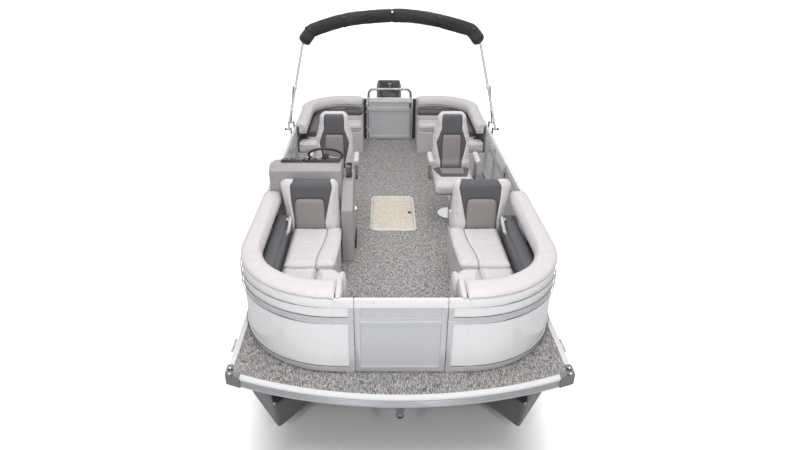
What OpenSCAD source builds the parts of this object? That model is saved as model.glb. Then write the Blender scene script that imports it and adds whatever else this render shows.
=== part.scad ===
// Twin-tube pontoon boat: a flat deck on two aluminium tubes, with a railed fence,
// lounges, a helm, two swivel chairs, a furled bimini top and an outboard motor.
// The bow points to -Y, the port side is +X and +Z is up. It stands on its two keels.

/* [Hull] */
// width over the deck's edge rails
beam = 2590; // [2100:10:3000]
// deck length on the centreline
deck_len = 6400; // [5800:10:7600]
// height of the deck's top above the keels
deck_top = 800; // [740:5:900]
// how far the curved front edge stands out ahead of its corners
bow_bulge = 250; // [100:5:400]
// thickness of the deck's plywood and vinyl
deck_t = 22; // [15:1:35]
// height of the edge rail's ribbed face
rail_h = 85; // [60:1:110]
// thickness of the edge rail
rail_t = 42; // [20:1:60]
// diameter of each tube
tube_d = 635; // [500:5:690]
// distance of each tube's centre from the centreline
tube_x = 940; // [800:5:1000]
// height of the keel strip below a tube
keel_h = 20; // [10:1:40]
// height of a cross-member under the deck
member_h = 80; // [50:1:90]
// number of full-width cross-members
member_n = 14; // [8:1:20]

/* [Fence] */
// half the fence's outer width
fence_w = 1262; // [1000:1:1460]
// distance from the deck's front to the fence's front face
fence_y0 = 270; // [150:5:600]
// distance from the fence's rear face to the deck's rear edge
rear_deck = 760; // [600:5:1200]
// radius of the fence's bow corners
bow_r = 780; // [600:5:850]
// radius of the fence's stern corners
stern_r = 600; // [400:5:800]
// depth of a fence rail
fence_t = 32; // [25:1:45]
// height of the fence above the deck
fence_h = 655; // [560:5:760]
// width of the bow gate's opening
bow_gate_w = 670; // [560:5:760]
// width of the stern gate's opening
stern_gate_w = 690; // [560:5:720]
// start of the port side gate's opening, from the deck's front
side_gate_y = 2200; // [2120:5:2300]
// length of the port side gate's opening
side_gate_w = 650; // [560:5:720]
// gap between a gate and its posts
gate_gap = 6; // [5:0.5:12]

/* [Lounges] */
// how far the bow coaming's lip stands out past the fence
lip_over = 22; // [0:1:30]
// height of a seat cushion's top above the deck
seat_z = 420; // [380:5:460]
// thickness of a seat cushion
seat_t = 118; // [80:1:140]
// height of the padded coaming's top above the deck
coaming_z = 700; // [670:5:760]
// thickness of the padded coaming
coaming_t = 145; // [100:5:180]
// width of the coaming's top along the sides
coaming_w = 165; // [120:5:200]
// where the bow lounge's backrest starts, from the deck's front
bow_back_y = 1846; // [1700:2:1900]
// height of the bow backrest's top above the deck
bow_back_z = 850; // [760:5:950]
// inner edge of a bow lounge's seat, from the centreline
bow_seat_x = 500; // [440:5:580]
// front of the stern lounges, from the deck's front
stern_seat_y = 4150; // [3950:5:4300]
// wall of a lounge base
base_t = 12; // [6:1:25]

/* [Helm and chairs] */
// height of the helm console's top above the deck
console_z = 930; // [850:5:1000]
// front of the helm console, from the deck's front
console_y = 2062; // [2056:1:2120]
// length of the helm console
console_len = 400; // [300:5:430]
// steering wheel diameter
wheel_d = 340; // [300:5:380]
// distance of a chair's post from the centreline
chair_x = 670; // [600:5:700]
// distance of a chair's post from the deck's front
chair_y = 2960; // [2950:5:3100]
// height of a chair seat's top above the deck
chair_seat_z = 520; // [460:5:560]
// height of a chair back's top above the deck
chair_back_z = 1130; // [1000:5:1200]
// width of a chair's seat
chair_w = 470; // [420:5:500]

/* [Floor hatch] */
// half the width of the hatch
hatch_x = 243; // [180:1:300]
// front edge of the hatch, from the deck's front
hatch_y = 2550; // [2450:5:2700]
// length of the hatch
hatch_len = 880; // [600:5:1000]
// depth of the locker below the deck's top
locker_d = 330; // [200:5:400]

/* [Bimini] */
// where the frame's legs pivot, from the deck's front
bimini_y = 3950; // [3700:5:4200]
// lean of the raised frame from upright, in degrees
bimini_lean = 33; // [20:1:45]
// height of the furled crown along the leaning frame
bimini_s = 1490; // [1300:5:1700]
// radius of the furled fabric bundle
boot_r = 85; // [60:1:110]
// distance of the brace's foot behind the leg's pivot
brace_dy = 270; // [220:5:320]

/* [Outboard] */
// height of the tilt axis above the keels
tilt_z = 640; // [600:5:760]
// distance of the tilt axis behind the deck's rear edge
tilt_dy = 100; // [80:5:160]
// tilt of the parked motor, in degrees
tilt_rest = 35; // [33:1:60]
// distance from the tilt axis down to the propeller's axis
prop_drop = 700; // [680:5:760]
// propeller radius
prop_r = 165; // [140:5:175]
// half the cowl's width
cowl_x = 205; // [170:5:230]

/* [Hidden] */

fine = 96;                                  // facets shown on a large round
small = 32;                                 // facets shown on a small round
half = beam / 2;
bow_edge_r = (half * half + bow_bulge * bow_bulge) / (2 * bow_bulge);
tube_r = tube_d / 2;
tube_z = keel_h + tube_r;
tube_end = deck_len - 150;
under = deck_top - deck_t;                  // underside of the deck
fence_y1 = deck_len - rear_deck;
mid_z = fence_h * 0.685;                    // underside of the fence's middle rail
mid_h = 56;
low_z = 15;                                 // underside of the bottom rail
low_h = 45;
top_h = 66;
post_w = 40;
skin_in = 5;                                // panel set back from the rails' face
skin_t = 4;
lining = fence_t + 1;                       // padding starts inside the fence
seat_gap = 0.3;                             // a lid lies this far above its base
base_h = seat_z - seat_t - seat_gap;
coaming_b = coaming_z - coaming_t;
bow_base_x = bow_seat_x + 30;
bow_wrap_x = 420;                           // inner face of the lounge beside the gate
bow_wrap_y = 860;
seat_out = fence_w - 277;                   // outer edge of the seat cushions
lid_y0 = 1130;
stern_in_x = 625;
stern_gate_x = 405;
stern_turn_y = fence_y1 - 620;
console_x = fence_w - 55;
console_in = 520;
wing_x = 405;
boot_R = 2750;
boot_a = 22;
boot_end_a = 58;                            // how steeply the bundle's ends drop
boot_end_l = 190;
boot_end_x = boot_R * sin(boot_a) + boot_end_l * cos(boot_end_a);
boot_end_s = bimini_s - boot_R * (1 - cos(boot_a)) - boot_end_l * sin(boot_end_a);
leg_x = fence_w + 40;
bimini_z = deck_top + fence_h + 45;
slider_s = 550;
leg_lean = (leg_x - boot_end_x) / boot_end_s;   // the leg's slope toward the centreline
tilt_y = deck_len + tilt_dy;
steer_y = 110;                              // steering axis behind the tilt axis
cowl_z0 = 150;
cowl_z1 = 750;
prop_y = 430;
reach = tilt_y + prop_y * cos(tilt_rest) + prop_drop * sin(tilt_rest) + 150;
mid_y = reach / 2 - 10;                     // middle of the whole boat

module place() translate([0, -mid_y, 0]) children();
module on_deck() place() translate([0, 0, deck_top]) children();
module both() for (s = [0, 1]) mirror([s, 0, 0]) children();
module tube_at(len, r, bore = 0) difference() {
    cylinder(r = r, h = len, $fn = small);
    if (bore > 0) translate([0, 0, -1]) cylinder(r = bore, h = len + 2, $fn = small);
}
module bar_x(len, r, bore = 0) rotate([0, 90, 0]) translate([0, 0, -len / 2]) tube_at(len, r, bore);
module rod(a, b, r) {
    d = b - a;
    translate(a) rotate([0, acos(d[2] / norm(d)), atan2(d[1], d[0])])
        cylinder(r = r, h = norm(d), $fn = small);
}
// a rectangle with one radius at each corner
module rounded(w, l, r) {
    translate([r, 0]) square([w - 2 * r, l]);
    translate([0, r]) square([w, l - 2 * r]);
    for (x = [r, w - r], y = [r, l - r]) translate([x, y]) circle(r = r, $fn = small);
}
module pad(x, y, z, w, l, h, r) translate([x, y, z]) linear_extrude(h) rounded(w, l, r);
// a profile in Y and Z, carried along X
module across(x0, x1) translate([x0, 0, 0]) rotate([90, 0, 90]) linear_extrude(x1 - x0) children();

// ---------------------------------------------------------------- hull
module deck_plan(t) intersection() {
    translate([-(half - t), 0]) square([2 * (half - t), deck_len - t]);
    translate([0, bow_edge_r]) circle(r = bow_edge_r - t, $fn = 360);
    translate([-half, -1]) square([beam, deck_len + 2]);
}
module deck_shape(t) union() {
    intersection() {
        translate([0, bow_edge_r]) circle(r = bow_edge_r - t, $fn = 360);
        translate([-(half - t), 0]) square([2 * (half - t), bow_bulge + 200]);
    }
    translate([-(half - t), bow_bulge + 100]) square([2 * (half - t), deck_len - t - bow_bulge - 100]);
}
notch_x = 330;
notch_y = deck_len - 320;
module motor_notch() translate([-notch_x, notch_y]) square([2 * notch_x, deck_len]);
module corner_zone(x) {
    for (s = [-1, 1])
        translate([s * (half - 50) - 60, bow_bulge - 75]) square([120, 175]);
}

module pontoon_tubes() color("silver") place() both() translate([tube_x, 0, 0]) {
    union() {
        translate([0, 1100, tube_z]) rotate([-90, 0, 0]) cylinder(r = tube_r, h = tube_end - 1100, $fn = fine);
        hull() {
            translate([0, 1099, tube_z]) rotate([-90, 0, 0]) cylinder(r = tube_r, h = 2, $fn = 64);
            translate([0, 620, tube_z + 25]) rotate([-90, 0, 0]) cylinder(r = tube_r * 0.9, h = 2, $fn = 64);
            translate([0, 285, keel_h + 255]) sphere(r = 24, $fn = 24);
            translate([0, 185, tube_z + tube_r - 75]) sphere(r = 24, $fn = 24);
        }
        translate([-25, 1000, 0]) cube([50, tube_end - 1000, keel_h + 15]);
    }
}

module cross_members() color("silver") place() {
    pitch = (notch_y - 80 - 420) / (member_n - 1);
    for (i = [0 : member_n - 1])
        translate([-half + rail_t + 12, 420 + i * pitch, under - member_h])
            difference() {
                cube([beam - 2 * rail_t - 24, 50, member_h]);
                translate([-1, 6, -1]) cube([beam, 38, member_h - 7]);
                if (420 + i * pitch + 60 > hatch_y - 20 && 420 + i * pitch < hatch_y + hatch_len + 20)
                    translate([half - rail_t - 12 - hatch_x - 30, -1, -1])
                        cube([2 * hatch_x + 60, 52, member_h + 2]);
            }
    translate([-500, 90, under - member_h]) cube([1000, 50, member_h]);
}
// the risers that carry the members on each tube
module tube_risers() color("silver") place() both() for (x = [-120, 100]) difference() {
    translate([tube_x + x, 420, tube_z]) cube([20, tube_end - 480, under - member_h - tube_z]);
    translate([tube_x, 400, tube_z]) rotate([-90, 0, 0]) cylinder(r = tube_r + 0.2, h = deck_len, $fn = fine);
}

module deck() color("#8d8984") place() translate([0, 0, under]) linear_extrude(deck_t) difference() {
    deck_shape(rail_t);
    translate([-hatch_x, hatch_y]) rounded(2 * hatch_x, hatch_len, 60);
    motor_notch();
}

ladder_x = 785;
ladder_w = 330;
ladder_y = deck_len + 42;
ladder_z = 25;
module deck_rails() color("#d9dadb") place() {
    translate([0, 0, deck_top + 4 - rail_h]) difference() {
        linear_extrude(rail_h) difference() {
            deck_shape(0);
            deck_shape(rail_t);
            motor_notch();
            corner_zone();
        }
        for (z = [18, 34, 50]) translate([0, 0, z]) linear_extrude(7) difference() {
            deck_shape(-5);
            deck_shape(4);
        }
    }
    // closing rail round the motor's notch
    translate([0, 0, under - 40]) linear_extrude(39.5) difference() {
        translate([-notch_x - 14, notch_y - 14]) square([2 * notch_x + 28, deck_len - rail_t - notch_y + 13]);
        motor_notch();
    }
    // the ladder's hinge pin and its lug
    translate([-ladder_x, ladder_y, deck_top + ladder_z]) {
        bar_x(ladder_w + 60, 8);
        translate([-30, deck_len - ladder_y, -35]) cube([60, ladder_y - deck_len + 10, 46]);
    }
}

module bow_castings() color("#77787b") place() {
    translate([0, 0, deck_top - rail_h - 2]) linear_extrude(rail_h + 14) intersection() {
        difference() { deck_shape(-5); deck_shape(rail_t - 0.2); }
        corner_zone();
    }
    for (s = [-1, 1]) translate([s * (half - 38), bow_bulge - 18, deck_top + 12]) {
        cylinder(r = 20, h = 16, $fn = small);
        translate([s * 14, 70, 0]) cylinder(r = 16, h = 12, $fn = small);
    }
}

module cleats() color("silver") place() for (y = [640, deck_len - 900]) both()
    translate([half, y, deck_top - 42]) {
        translate([0, -55, -22]) cube([8, 110, 44]);
        translate([8, -20, -6]) cube([22, 40, 12]);
        translate([30, 0, 0]) rotate([90, 0, 0]) translate([0, 0, -75]) cylinder(r = 9, h = 150, $fn = small);
    }

eye_r = 16;
module bow_eye() color("silver") place() translate([0, 106, 0]) rotate([90, 0, 0]) difference() {
    union() {
        linear_extrude(12) polygon([[-45, under - member_h], [45, under - member_h], [22, 540], [-22, 540]]);
        translate([0, 540, 0]) cylinder(r = 30, h = 12, $fn = small);
    }
    translate([0, 540, -1]) cylinder(r = eye_r, h = 14, $fn = small);
}

// ---------------------------------------------------------------- fence
// the rounded plan of the fence's outer face, moved in by t
module fence_plan(t) {
    w = fence_w - t;
    f = fence_y0 + t;
    e = fence_y1 - t;
    fr = bow_r - t;
    sr = stern_r - t;
    for (s = [-1, 1]) {
        translate([s * (w - fr), f + fr]) circle(r = fr, $fn = fine);
        translate([s * (w - sr), e - sr]) circle(r = sr, $fn = fine);
    }
    translate([-w, f + fr]) square([2 * w, e - sr - f - fr]);
    translate([-(w - fr), f]) square([2 * (w - fr), fr + 1]);
    translate([-(w - sr), e - sr - 1]) square([2 * (w - sr), sr + 1]);
}
module fence_ring(z, h, a, b) translate([0, 0, z]) linear_extrude(h) difference() {
    fence_plan(a);
    fence_plan(b);
}
// the three gate openings, widened by g at each side
module gate_gaps(g) {
    translate([-bow_gate_w / 2 - g, fence_y0 - 5]) square([bow_gate_w + 2 * g, fence_t + 10]);
    translate([-stern_gate_w / 2 - g, fence_y1 - fence_t - 5]) square([stern_gate_w + 2 * g, fence_t + 10]);
    translate([fence_w - fence_t - 5, side_gate_y - g]) square([fence_t + 10, side_gate_w + 2 * g]);
}
module gate_posts() difference() {
    gate_gaps(post_w);
    gate_gaps(0);
    translate([-fence_w, 0]) square([2 * fence_w, fence_y0]);
    translate([fence_t - fence_w, fence_y0 + fence_t])
        square([2 * (fence_w - fence_t), fence_y1 - fence_y0 - 2 * fence_t]);
    translate([-fence_w, fence_y1]) square([2 * fence_w, 100]);
    translate([fence_w, 0]) square([100, deck_len]);
}
hinge_r = 9;
hinge_pin = 5;
hinge_gap = 0.05;
module hinge_fixed() {
    tube_at(120, hinge_pin);
    for (z = [0, 90]) translate([0, 0, z]) {
        tube_at(30, hinge_r);
        translate([0, -hinge_r, 0]) cube([24, hinge_r, 30]);
    }
}
module hinge_moving() difference() {
    union() {
        translate([0, 0, 31]) tube_at(58, hinge_r);
        translate([-24, -hinge_r, 31]) cube([24, hinge_r, 58]);
    }
    tube_at(120, hinge_pin + hinge_gap);
}
module bow_hinge_at() for (z = [90, 430]) translate([bow_gate_w / 2 - 3, fence_y0 + fence_t + hinge_r, z]) children();
module stern_hinge_at() for (z = [90, 430]) translate([-stern_gate_w / 2 + 3, fence_y1 - fence_t - hinge_r, z])
    rotate([0, 0, 180]) children();
// the side gate opens outward, clear of the chair
module side_hinge_at() for (z = [90, 430]) translate([fence_w + hinge_r, side_gate_y + 3, z])
    rotate([0, 0, -90]) children();

// the joints between the fence's sections
module fence_joints(step) both() {
    for (a = [0 : step : 90]) {
        translate([fence_w - bow_r, fence_y0 + bow_r]) rotate([0, 0, -a])
            translate([bow_r - fence_t - 30, -joint_w / 2]) square([fence_t + 60, joint_w]);
        translate([fence_w - stern_r, fence_y1 - stern_r]) rotate([0, 0, a])
            translate([stern_r - fence_t - 30, -joint_w / 2]) square([fence_t + 60, joint_w]);
    }
}
joint_w = 0.4;
module fence_frames() color("#e4e5e6") on_deck() {
    difference() {
        union() {
            fence_ring(low_z, low_h, 0, fence_t);
            fence_ring(mid_z, mid_h, 0, fence_t);
            fence_ring(fence_h - top_h, top_h, 0, fence_t);
            difference() {
                fence_ring(low_z + low_h - 1, fence_h - top_h - low_z - low_h + 2, skin_in + skin_t, fence_t);
                // keep only narrow posts of this ring
                for (y = [fence_y0 + bow_r + 20 : 620 : fence_y1 - stern_r - 100])
                    translate([-fence_w, y + 36, 0]) cube([2 * fence_w, 584, fence_h]);
                translate([-fence_w, fence_y0 + bow_r - 600, 0]) cube([2 * fence_w, 620, fence_h]);
                translate([-fence_w, 0, 0]) cube([2 * fence_w, fence_y0 + bow_r - 100, fence_h]);
                translate([-fence_w, fence_y1 - stern_r - 60, 0]) cube([2 * fence_w, stern_r + 100, fence_h]);
            }
            for (a = [30, 60]) both() translate([fence_w - bow_r, fence_y0 + bow_r, low_z])
                rotate([0, 0, -a]) translate([bow_r - fence_t + 1, -18, 0])
                    cube([fence_t - skin_in - skin_t - 2, 36, fence_h - low_z - 5]);
            for (a = [30, 60]) both() translate([fence_w - stern_r, fence_y1 - stern_r, low_z])
                rotate([0, 0, a]) translate([stern_r - fence_t + 1, -18, 0])
                    cube([fence_t - skin_in - skin_t - 2, 36, fence_h - low_z - 5]);
            translate([0, 0, low_z]) linear_extrude(fence_h - low_z) gate_posts();
        }
        translate([0, 0, -1]) linear_extrude(fence_h + 2) gate_gaps(0);
        // the recess that makes the middle rail a double one
        fence_ring(mid_z + mid_h / 2 - 8, 16, -5, 5);
        translate([0, 0, -1]) linear_extrude(fence_h + 2) fence_joints(30);
    }
    // feet
    both() for (y = [fence_y0 + bow_r + 100 : 900 : fence_y1 - stern_r])
        translate([fence_w - fence_t + 4, y, 0]) cube([fence_t - 14, 60, low_z]);
    both() for (x = [bow_gate_w / 2 + 8]) translate([x, fence_y0 + 4, 0]) cube([60, fence_t - 8, low_z]);
    both() for (x = [stern_gate_w / 2 + 8]) translate([x, fence_y1 - fence_t + 4, 0]) cube([60, fence_t - 8, low_z]);
    bow_hinge_at() hinge_fixed();
    stern_hinge_at() hinge_fixed();
    side_hinge_at() hinge_fixed();
}
module fence_panels() color("white") on_deck() {
    for (p = [[low_z + low_h, mid_z], [mid_z + mid_h, fence_h - top_h]]) difference() {
        fence_ring(p[0], p[1] - p[0], skin_in, skin_in + skin_t);
        translate([0, 0, p[0] - 1]) linear_extrude(p[1] - p[0] + 2) { gate_gaps(post_w); fence_joints(30); }
    }
}

// a gate lying along X from 0 to w, its outer face at y 0
module gate_bars(w) {
    b = 40;
    difference() {
        translate([0, 0, low_z]) cube([w, fence_t, fence_h - low_z]);
        translate([b, -1, low_z + low_h]) cube([w - 2 * b, fence_t + 2, mid_z - low_z - low_h]);
        translate([b, -1, mid_z + mid_h]) cube([w - 2 * b, fence_t + 2, fence_h - top_h - mid_z - mid_h]);
        translate([b, -1, mid_z + mid_h / 2 - 8]) cube([w - 2 * b, 6, 16]);
    }
}
module gate_skin(w) {
    b = 40;
    for (p = [[low_z + low_h, mid_z], [mid_z + mid_h, fence_h - top_h]])
        translate([b, skin_in + 6, p[0]]) cube([w - 2 * b, skin_t, p[1] - p[0]]);
}
module bow_gate_at() translate([-bow_gate_w / 2 + gate_gap, fence_y0, 0]) children();
module stern_gate_at() translate([stern_gate_w / 2 - gate_gap, fence_y1, 0]) rotate([0, 0, 180]) children();
module side_gate_at() translate([fence_w, side_gate_y + gate_gap, 0]) rotate([0, 0, 90]) children();

module bow_gate_frame() color("#cfd1d3") on_deck() {
    bow_gate_at() gate_bars(bow_gate_w - 2 * gate_gap);
    bow_hinge_at() hinge_moving();
}
module bow_gate_panel() color("#c4cacd") on_deck() bow_gate_at() gate_skin(bow_gate_w - 2 * gate_gap);
module stern_gate_frame() color("#cfd1d3") on_deck() {
    stern_gate_at() gate_bars(stern_gate_w - 2 * gate_gap);
    stern_hinge_at() hinge_moving();
}
module stern_gate_panel() color("#c4cacd") on_deck() stern_gate_at() gate_skin(stern_gate_w - 2 * gate_gap);
module side_gate_frame() color("#cfd1d3") on_deck() {
    side_gate_at() gate_bars(side_gate_w - 2 * gate_gap);
    side_hinge_at() hinge_moving();
}
module side_gate_panel() color("white") on_deck() side_gate_at() gate_skin(side_gate_w - 2 * gate_gap);

// ---------------------------------------------------------------- lounges
module bow_base_plan(t) intersection() {
    fence_plan(lining + t);
    union() {
        translate([-fence_w, fence_y0 + lining + t]) square([fence_w - bow_wrap_x - t, bow_wrap_y - fence_y0 - lining - 2 * t]);
        translate([-fence_w, fence_y0 + lining + t])
            square([fence_w - bow_base_x - t, console_y - 8 - fence_y0 - lining - 2 * t]);
    }
}
module bow_lounge_bases() color("#9a9894") on_deck() both() difference() {
    linear_extrude(base_h) bow_base_plan(0);
    translate([0, 0, base_t]) linear_extrude(base_h) intersection() {
        bow_base_plan(base_t);
        translate([-seat_out - 5, lid_y0 - 190]) square([seat_out - bow_base_x + 20, 930]);
    }
}
// what the coaming leaves open: the room inside the padding, moved in by t
module room_plan(t) {
    w = fence_w - coaming_w - t;
    f = fence_y0 + 250 + t;
    e = fence_y1 - 200 - t;
    fr = bow_r - 230;
    sr = stern_r - 150;
    for (s = [-1, 1]) {
        translate([s * (w - fr), f + fr]) circle(r = fr, $fn = fine);
        translate([s * (w - sr), e - sr]) circle(r = sr, $fn = fine);
    }
    translate([-w, f + fr]) square([2 * w, e - sr - f - fr]);
    translate([-(w - fr), f]) square([2 * (w - fr), fr + 1]);
    translate([-(w - sr), e - sr - 1]) square([2 * (w - sr), sr + 1]);
}
module bow_end() translate([-fence_w - lip_over, 0]) square([fence_w + lip_over - bow_wrap_x, console_y - 2]);
module stern_end() translate([-fence_w, stern_seat_y]) square([fence_w - stern_gate_x, deck_len]);
module coamings() color("#c8c3bf") on_deck() both() for (k = [0, 1]) translate([0, 0, coaming_b]) {
    linear_extrude(coaming_t) intersection() {
        difference() { fence_plan(lining); room_plan(0); }
        if (k == 0) bow_end(); else stern_end();
    }
    // the lip that laps over the top rail
    translate([0, 0, fence_h - coaming_b + 0.3]) linear_extrude(coaming_z - fence_h - 0.3) intersection() {
        difference() { fence_plan(k == 0 ? -lip_over : 10); fence_plan(lining + 5); }
        if (k == 0) bow_end(); else stern_end();
    }
}
module lounge_side_panels() color("#55575b") on_deck() both() for (k = [0, 1])
    translate([0, 0, base_h]) linear_extrude(coaming_b - base_h) intersection() {
        difference() {
            fence_plan(lining);
            translate([-seat_out - 6, fence_y0 + 300]) square([2 * seat_out + 12, fence_y1 - fence_y0 - 520]);
            room_plan(100);
        }
        if (k == 0) translate([-fence_w, 0]) square([fence_w - bow_wrap_x, bow_back_y]);
        else translate([-fence_w, stern_seat_y + 190]) square([fence_w - stern_gate_x, deck_len]);
    }
// fixed pads: the foot wrap by the gate and the pad ahead of the seat
module bow_lounge_pads() color("#c8c3bf") on_deck() both() {
    pad(-660, 580, base_h, 235, 345, 240, 70);
    pad(-seat_out + 3, 745, base_h, seat_out - 668, lid_y0 - 751, seat_t, 60);
}
module bow_backrests() color("#c8c3bf") on_deck() both() translate([0, 0, 0]) across(-1090, -520)
    polygon([[bow_back_y, base_h], [bow_back_y + 120, bow_back_z - 30], [bow_back_y + 145, bow_back_z],
        [bow_back_y + 190, bow_back_z], [bow_back_y + 208, bow_back_z - 25], [bow_back_y + 208, base_h]]);
module bow_seat() {
    pad(-seat_out, lid_y0, base_h + seat_gap, seat_out - 655, bow_back_y - 6 - lid_y0, seat_t, 40);
    pad(-654.7, lid_y0, base_h + seat_gap, 654.7 - bow_seat_x, bow_back_y - 6 - lid_y0, seat_t, 60);
}
module starboard_bow_seat() color("#c8c3bf") on_deck() bow_seat();
module port_bow_seat() color("#c8c3bf") on_deck() mirror([1, 0, 0]) bow_seat();

module stern_base_plan(t) intersection() {
    fence_plan(lining + t);
    union() {
        translate([-fence_w, stern_seat_y + t]) square([fence_w - stern_in_x - t, deck_len]);
        translate([-fence_w, stern_turn_y + t]) square([fence_w - stern_gate_x - t, deck_len]);
    }
}
stern_lid_y = stern_seat_y + 195;
stern_lid_l = stern_turn_y + 15 - stern_lid_y;
module stern_lounge_bases() color("#9a9894") on_deck() both() difference() {
    linear_extrude(base_h) stern_base_plan(0);
    translate([-seat_out - 5, stern_lid_y + 15, base_t])
        cube([seat_out - stern_in_x - 10, stern_lid_l - 30, base_h]);
}
module stern_lounge_pads() color("#c8c3bf") on_deck() both() {
    // the front arm
    pad(-fence_w + lining + 2, stern_seat_y + 2, base_h, fence_w - lining - stern_in_x - 10, 185, 300 - coaming_t, 60);
    // the corner seat and the pad beside the gate
    intersection() {
        translate([0, 0, base_h]) linear_extrude(seat_t) union() {
            translate([-seat_out + 2, stern_turn_y + 22]) square([seat_out - stern_gate_x - 2, 700]);
        }
        translate([0, 0, base_h - 1]) linear_extrude(seat_t + 2) room_plan(101);
    }
}
module stern_seat() {
    pad(-seat_out, stern_lid_y, base_h + seat_gap, seat_out - stern_in_x + 12, stern_lid_l, seat_t, 40);
}
module starboard_stern_seat() color("#c8c3bf") on_deck() stern_seat();
module port_stern_seat() color("#c8c3bf") on_deck() mirror([1, 0, 0]) stern_seat();

// ---------------------------------------------------------------- helm
helm_t = 8;
dash_z = console_z - 8;
module helm_console() color("#b9b7b4") on_deck() {
    difference() {
        across(-console_x, -console_in) polygon([[console_y, 0], [console_y, console_z - 40],
            [console_y + 60, console_z], [console_y + 120, console_z], [console_y + console_len, console_z - 70],
            [console_y + console_len, 420], [console_y + console_len - 90, 380], [console_y + console_len - 90, 0]]);
        // open behind, for the driver's feet
        translate([-console_x + helm_t, console_y + helm_t, helm_t])
            cube([console_x - console_in - 2 * helm_t, console_len, 360]);
        across(-console_x + helm_t, -console_in - helm_t) polygon([[console_y + helm_t, 300],
            [console_y + helm_t, console_z - 45], [console_y + 64, console_z - helm_t],
            [console_y + 120, console_z - helm_t], [console_y + console_len - helm_t, console_z - 78],
            [console_y + console_len - helm_t, 430], [console_y + console_len - 98, 388],
            [console_y + console_len - 98, 300]]);
        wheel_axis() translate([0, 0, -92.2]) cylinder(r = 26.2, h = 71, $fn = small);
    }
}
// the side wing that carries the throttle
module helm_wing() color("#b9b7b4") on_deck() {
    across(-console_in + 0.2, -wing_x) polygon([[console_y - 180, 0], [console_y - 180, 560], [console_y - 60, 640],
        [console_y, 700], [console_y + 60, 760], [console_y + 420, 720], [console_y + 430, 500],
        [console_y + 380, 0]]);
}
dash_tilt = atan2(70, console_len - 120);
module on_dash() translate([0, console_y + 120, console_z]) rotate([-dash_tilt, 0, 0]) children();
wheel_at = [-705, console_y + 455, 885];
wheel_lift = 48;                            // angle of the wheel's axis above level
module at_wheel() translate(wheel_at) rotate([90 - wheel_lift, 0, 0]) mirror([0, 1, 0]) children();
module wheel_axis() translate(wheel_at) rotate([wheel_lift - 90, 0, 0]) children();
module helm_dash() color("#2b2d30") on_deck() {
    on_dash() translate([0, 0, 0.2]) {
        difference() {
            translate([-1110, 20, 0]) cube([215, 190, 26]);
            translate([-1098, 32, 20]) cube([191, 166, 8]);
        }
        difference() {
            translate([-885, 20, 0]) cube([345, 190, 26]);
            translate([-873, 32, 20]) cube([321, 166, 8]);
        }
    }
    wheel_axis() translate([0, 0, -92]) {
        cylinder(r = 26, h = 70, $fn = small);
        cylinder(r = 10, h = 110, $fn = small);
    }
}
module throttle() color("#2b2d30") on_deck() translate([-wing_x - 70, console_y + 250, 741]) rotate([-6.3, 0, 0]) {
    translate([-12, -60, 0]) cube([60, 130, 22]);
    translate([18, 0, 20]) rotate([0, 90, 0]) cylinder(r = 22, h = 40, center = true, $fn = small);
    translate([36, 0, 20]) rotate([-28, 0, 0]) cylinder(r = 8, h = 105, $fn = small);
    translate([18, 50, 113]) rotate([0, 90, 0]) cylinder(r = 13, h = 54, center = true, $fn = small);
}
module steering_wheel() color("#1d1e20") on_deck() wheel_axis() {
    rotate_extrude($fn = fine) translate([wheel_d / 2 - 13, 0]) circle(r = 13, $fn = small);
    for (a = [90, 210, 330]) rotate([0, 0, a]) translate([30, -16, -6]) cube([wheel_d / 2 - 40, 32, 10]);
    difference() {
        translate([0, 0, -21]) cylinder(r = 42, h = 42, $fn = small);
        translate([0, 0, -22]) cylinder(r = 10 + hinge_gap, h = 41, $fn = small);
    }
}

// ---------------------------------------------------------------- chairs
post_r = 38;
post_top = chair_seat_z - 210;
module chair_pedestals() color("silver") on_deck() for (s = [-1, 1]) translate([s * chair_x, chair_y, 0]) {
    cylinder(r = 150, h = 14, $fn = fine);
    cylinder(r = post_r, h = post_top, $fn = small);
    cylinder(r = 18, h = post_top + 40, $fn = small);
}
// a chair facing the bow, its swivel axis at the origin, its height from the deck
module chair_seat() {
    c = chair_seat_z;
    difference() {
        translate([0, 0, post_top + 1]) linear_extrude(60) translate([-150, -150]) rounded(300, 300, 30);
        translate([0, 0, post_top]) cylinder(r = 18 + hinge_gap, h = 45, $fn = small);
    }
    pad(-chair_w / 2, -340, post_top + 61, chair_w, 560, c - post_top - 61, 70);
    // arms on their posts
    for (s = [-1, 1]) {
        translate([s * (chair_w / 2 + 22) - 18, 60, c - 120]) cube([36, 60, 230]);
        translate([s * (chair_w / 2 + 22), 0, c + 110]) translate([-34, -110, 0]) linear_extrude(80)
            rounded(68, 300, 32);
        translate([s * (chair_w / 2 - 3) - 24, 60, c - 110]) cube([48, 60, 60]);
    }
}
module chair_back() {
    c = chair_seat_z;
    t = chair_back_z;
    difference() {
        across(-chair_w / 2, chair_w / 2) polygon([[220.3, c - 90], [220.3, c], [240, c + 60], [330, t - 50],
            [350, t - 8], [375, t], [415, t - 10], [430, t - 40], [400, c + 300], [370, c], [330, c - 90]]);
        // the shoulders narrow toward the headrest
        for (s = [0, 1]) mirror([s, 0, 0]) translate([0, 600, 0]) rotate([90, 0, 0]) linear_extrude(500)
            polygon([[chair_w / 2 - 125, t + 20], [chair_w / 2 - 105, t - 12], [chair_w / 2 - 62, t - 62],
                [chair_w / 2 - 28, t - 140], [chair_w / 2 - 8, t - 260], [chair_w / 2 + 0.01, t - 360],
                [chair_w, t - 360], [chair_w, t + 20]]);
    }
}
module helm_chair_at() on_deck() translate([-chair_x, chair_y, 0]) children();
module port_chair_at() on_deck() translate([chair_x, chair_y, 0]) children();
module helm_chair_seat() color("#c8c3bf") helm_chair_at() chair_seat();
module helm_chair_back() color("#c8c3bf") helm_chair_at() chair_back();
module port_chair_seat() color("#c8c3bf") port_chair_at() chair_seat();
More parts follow.
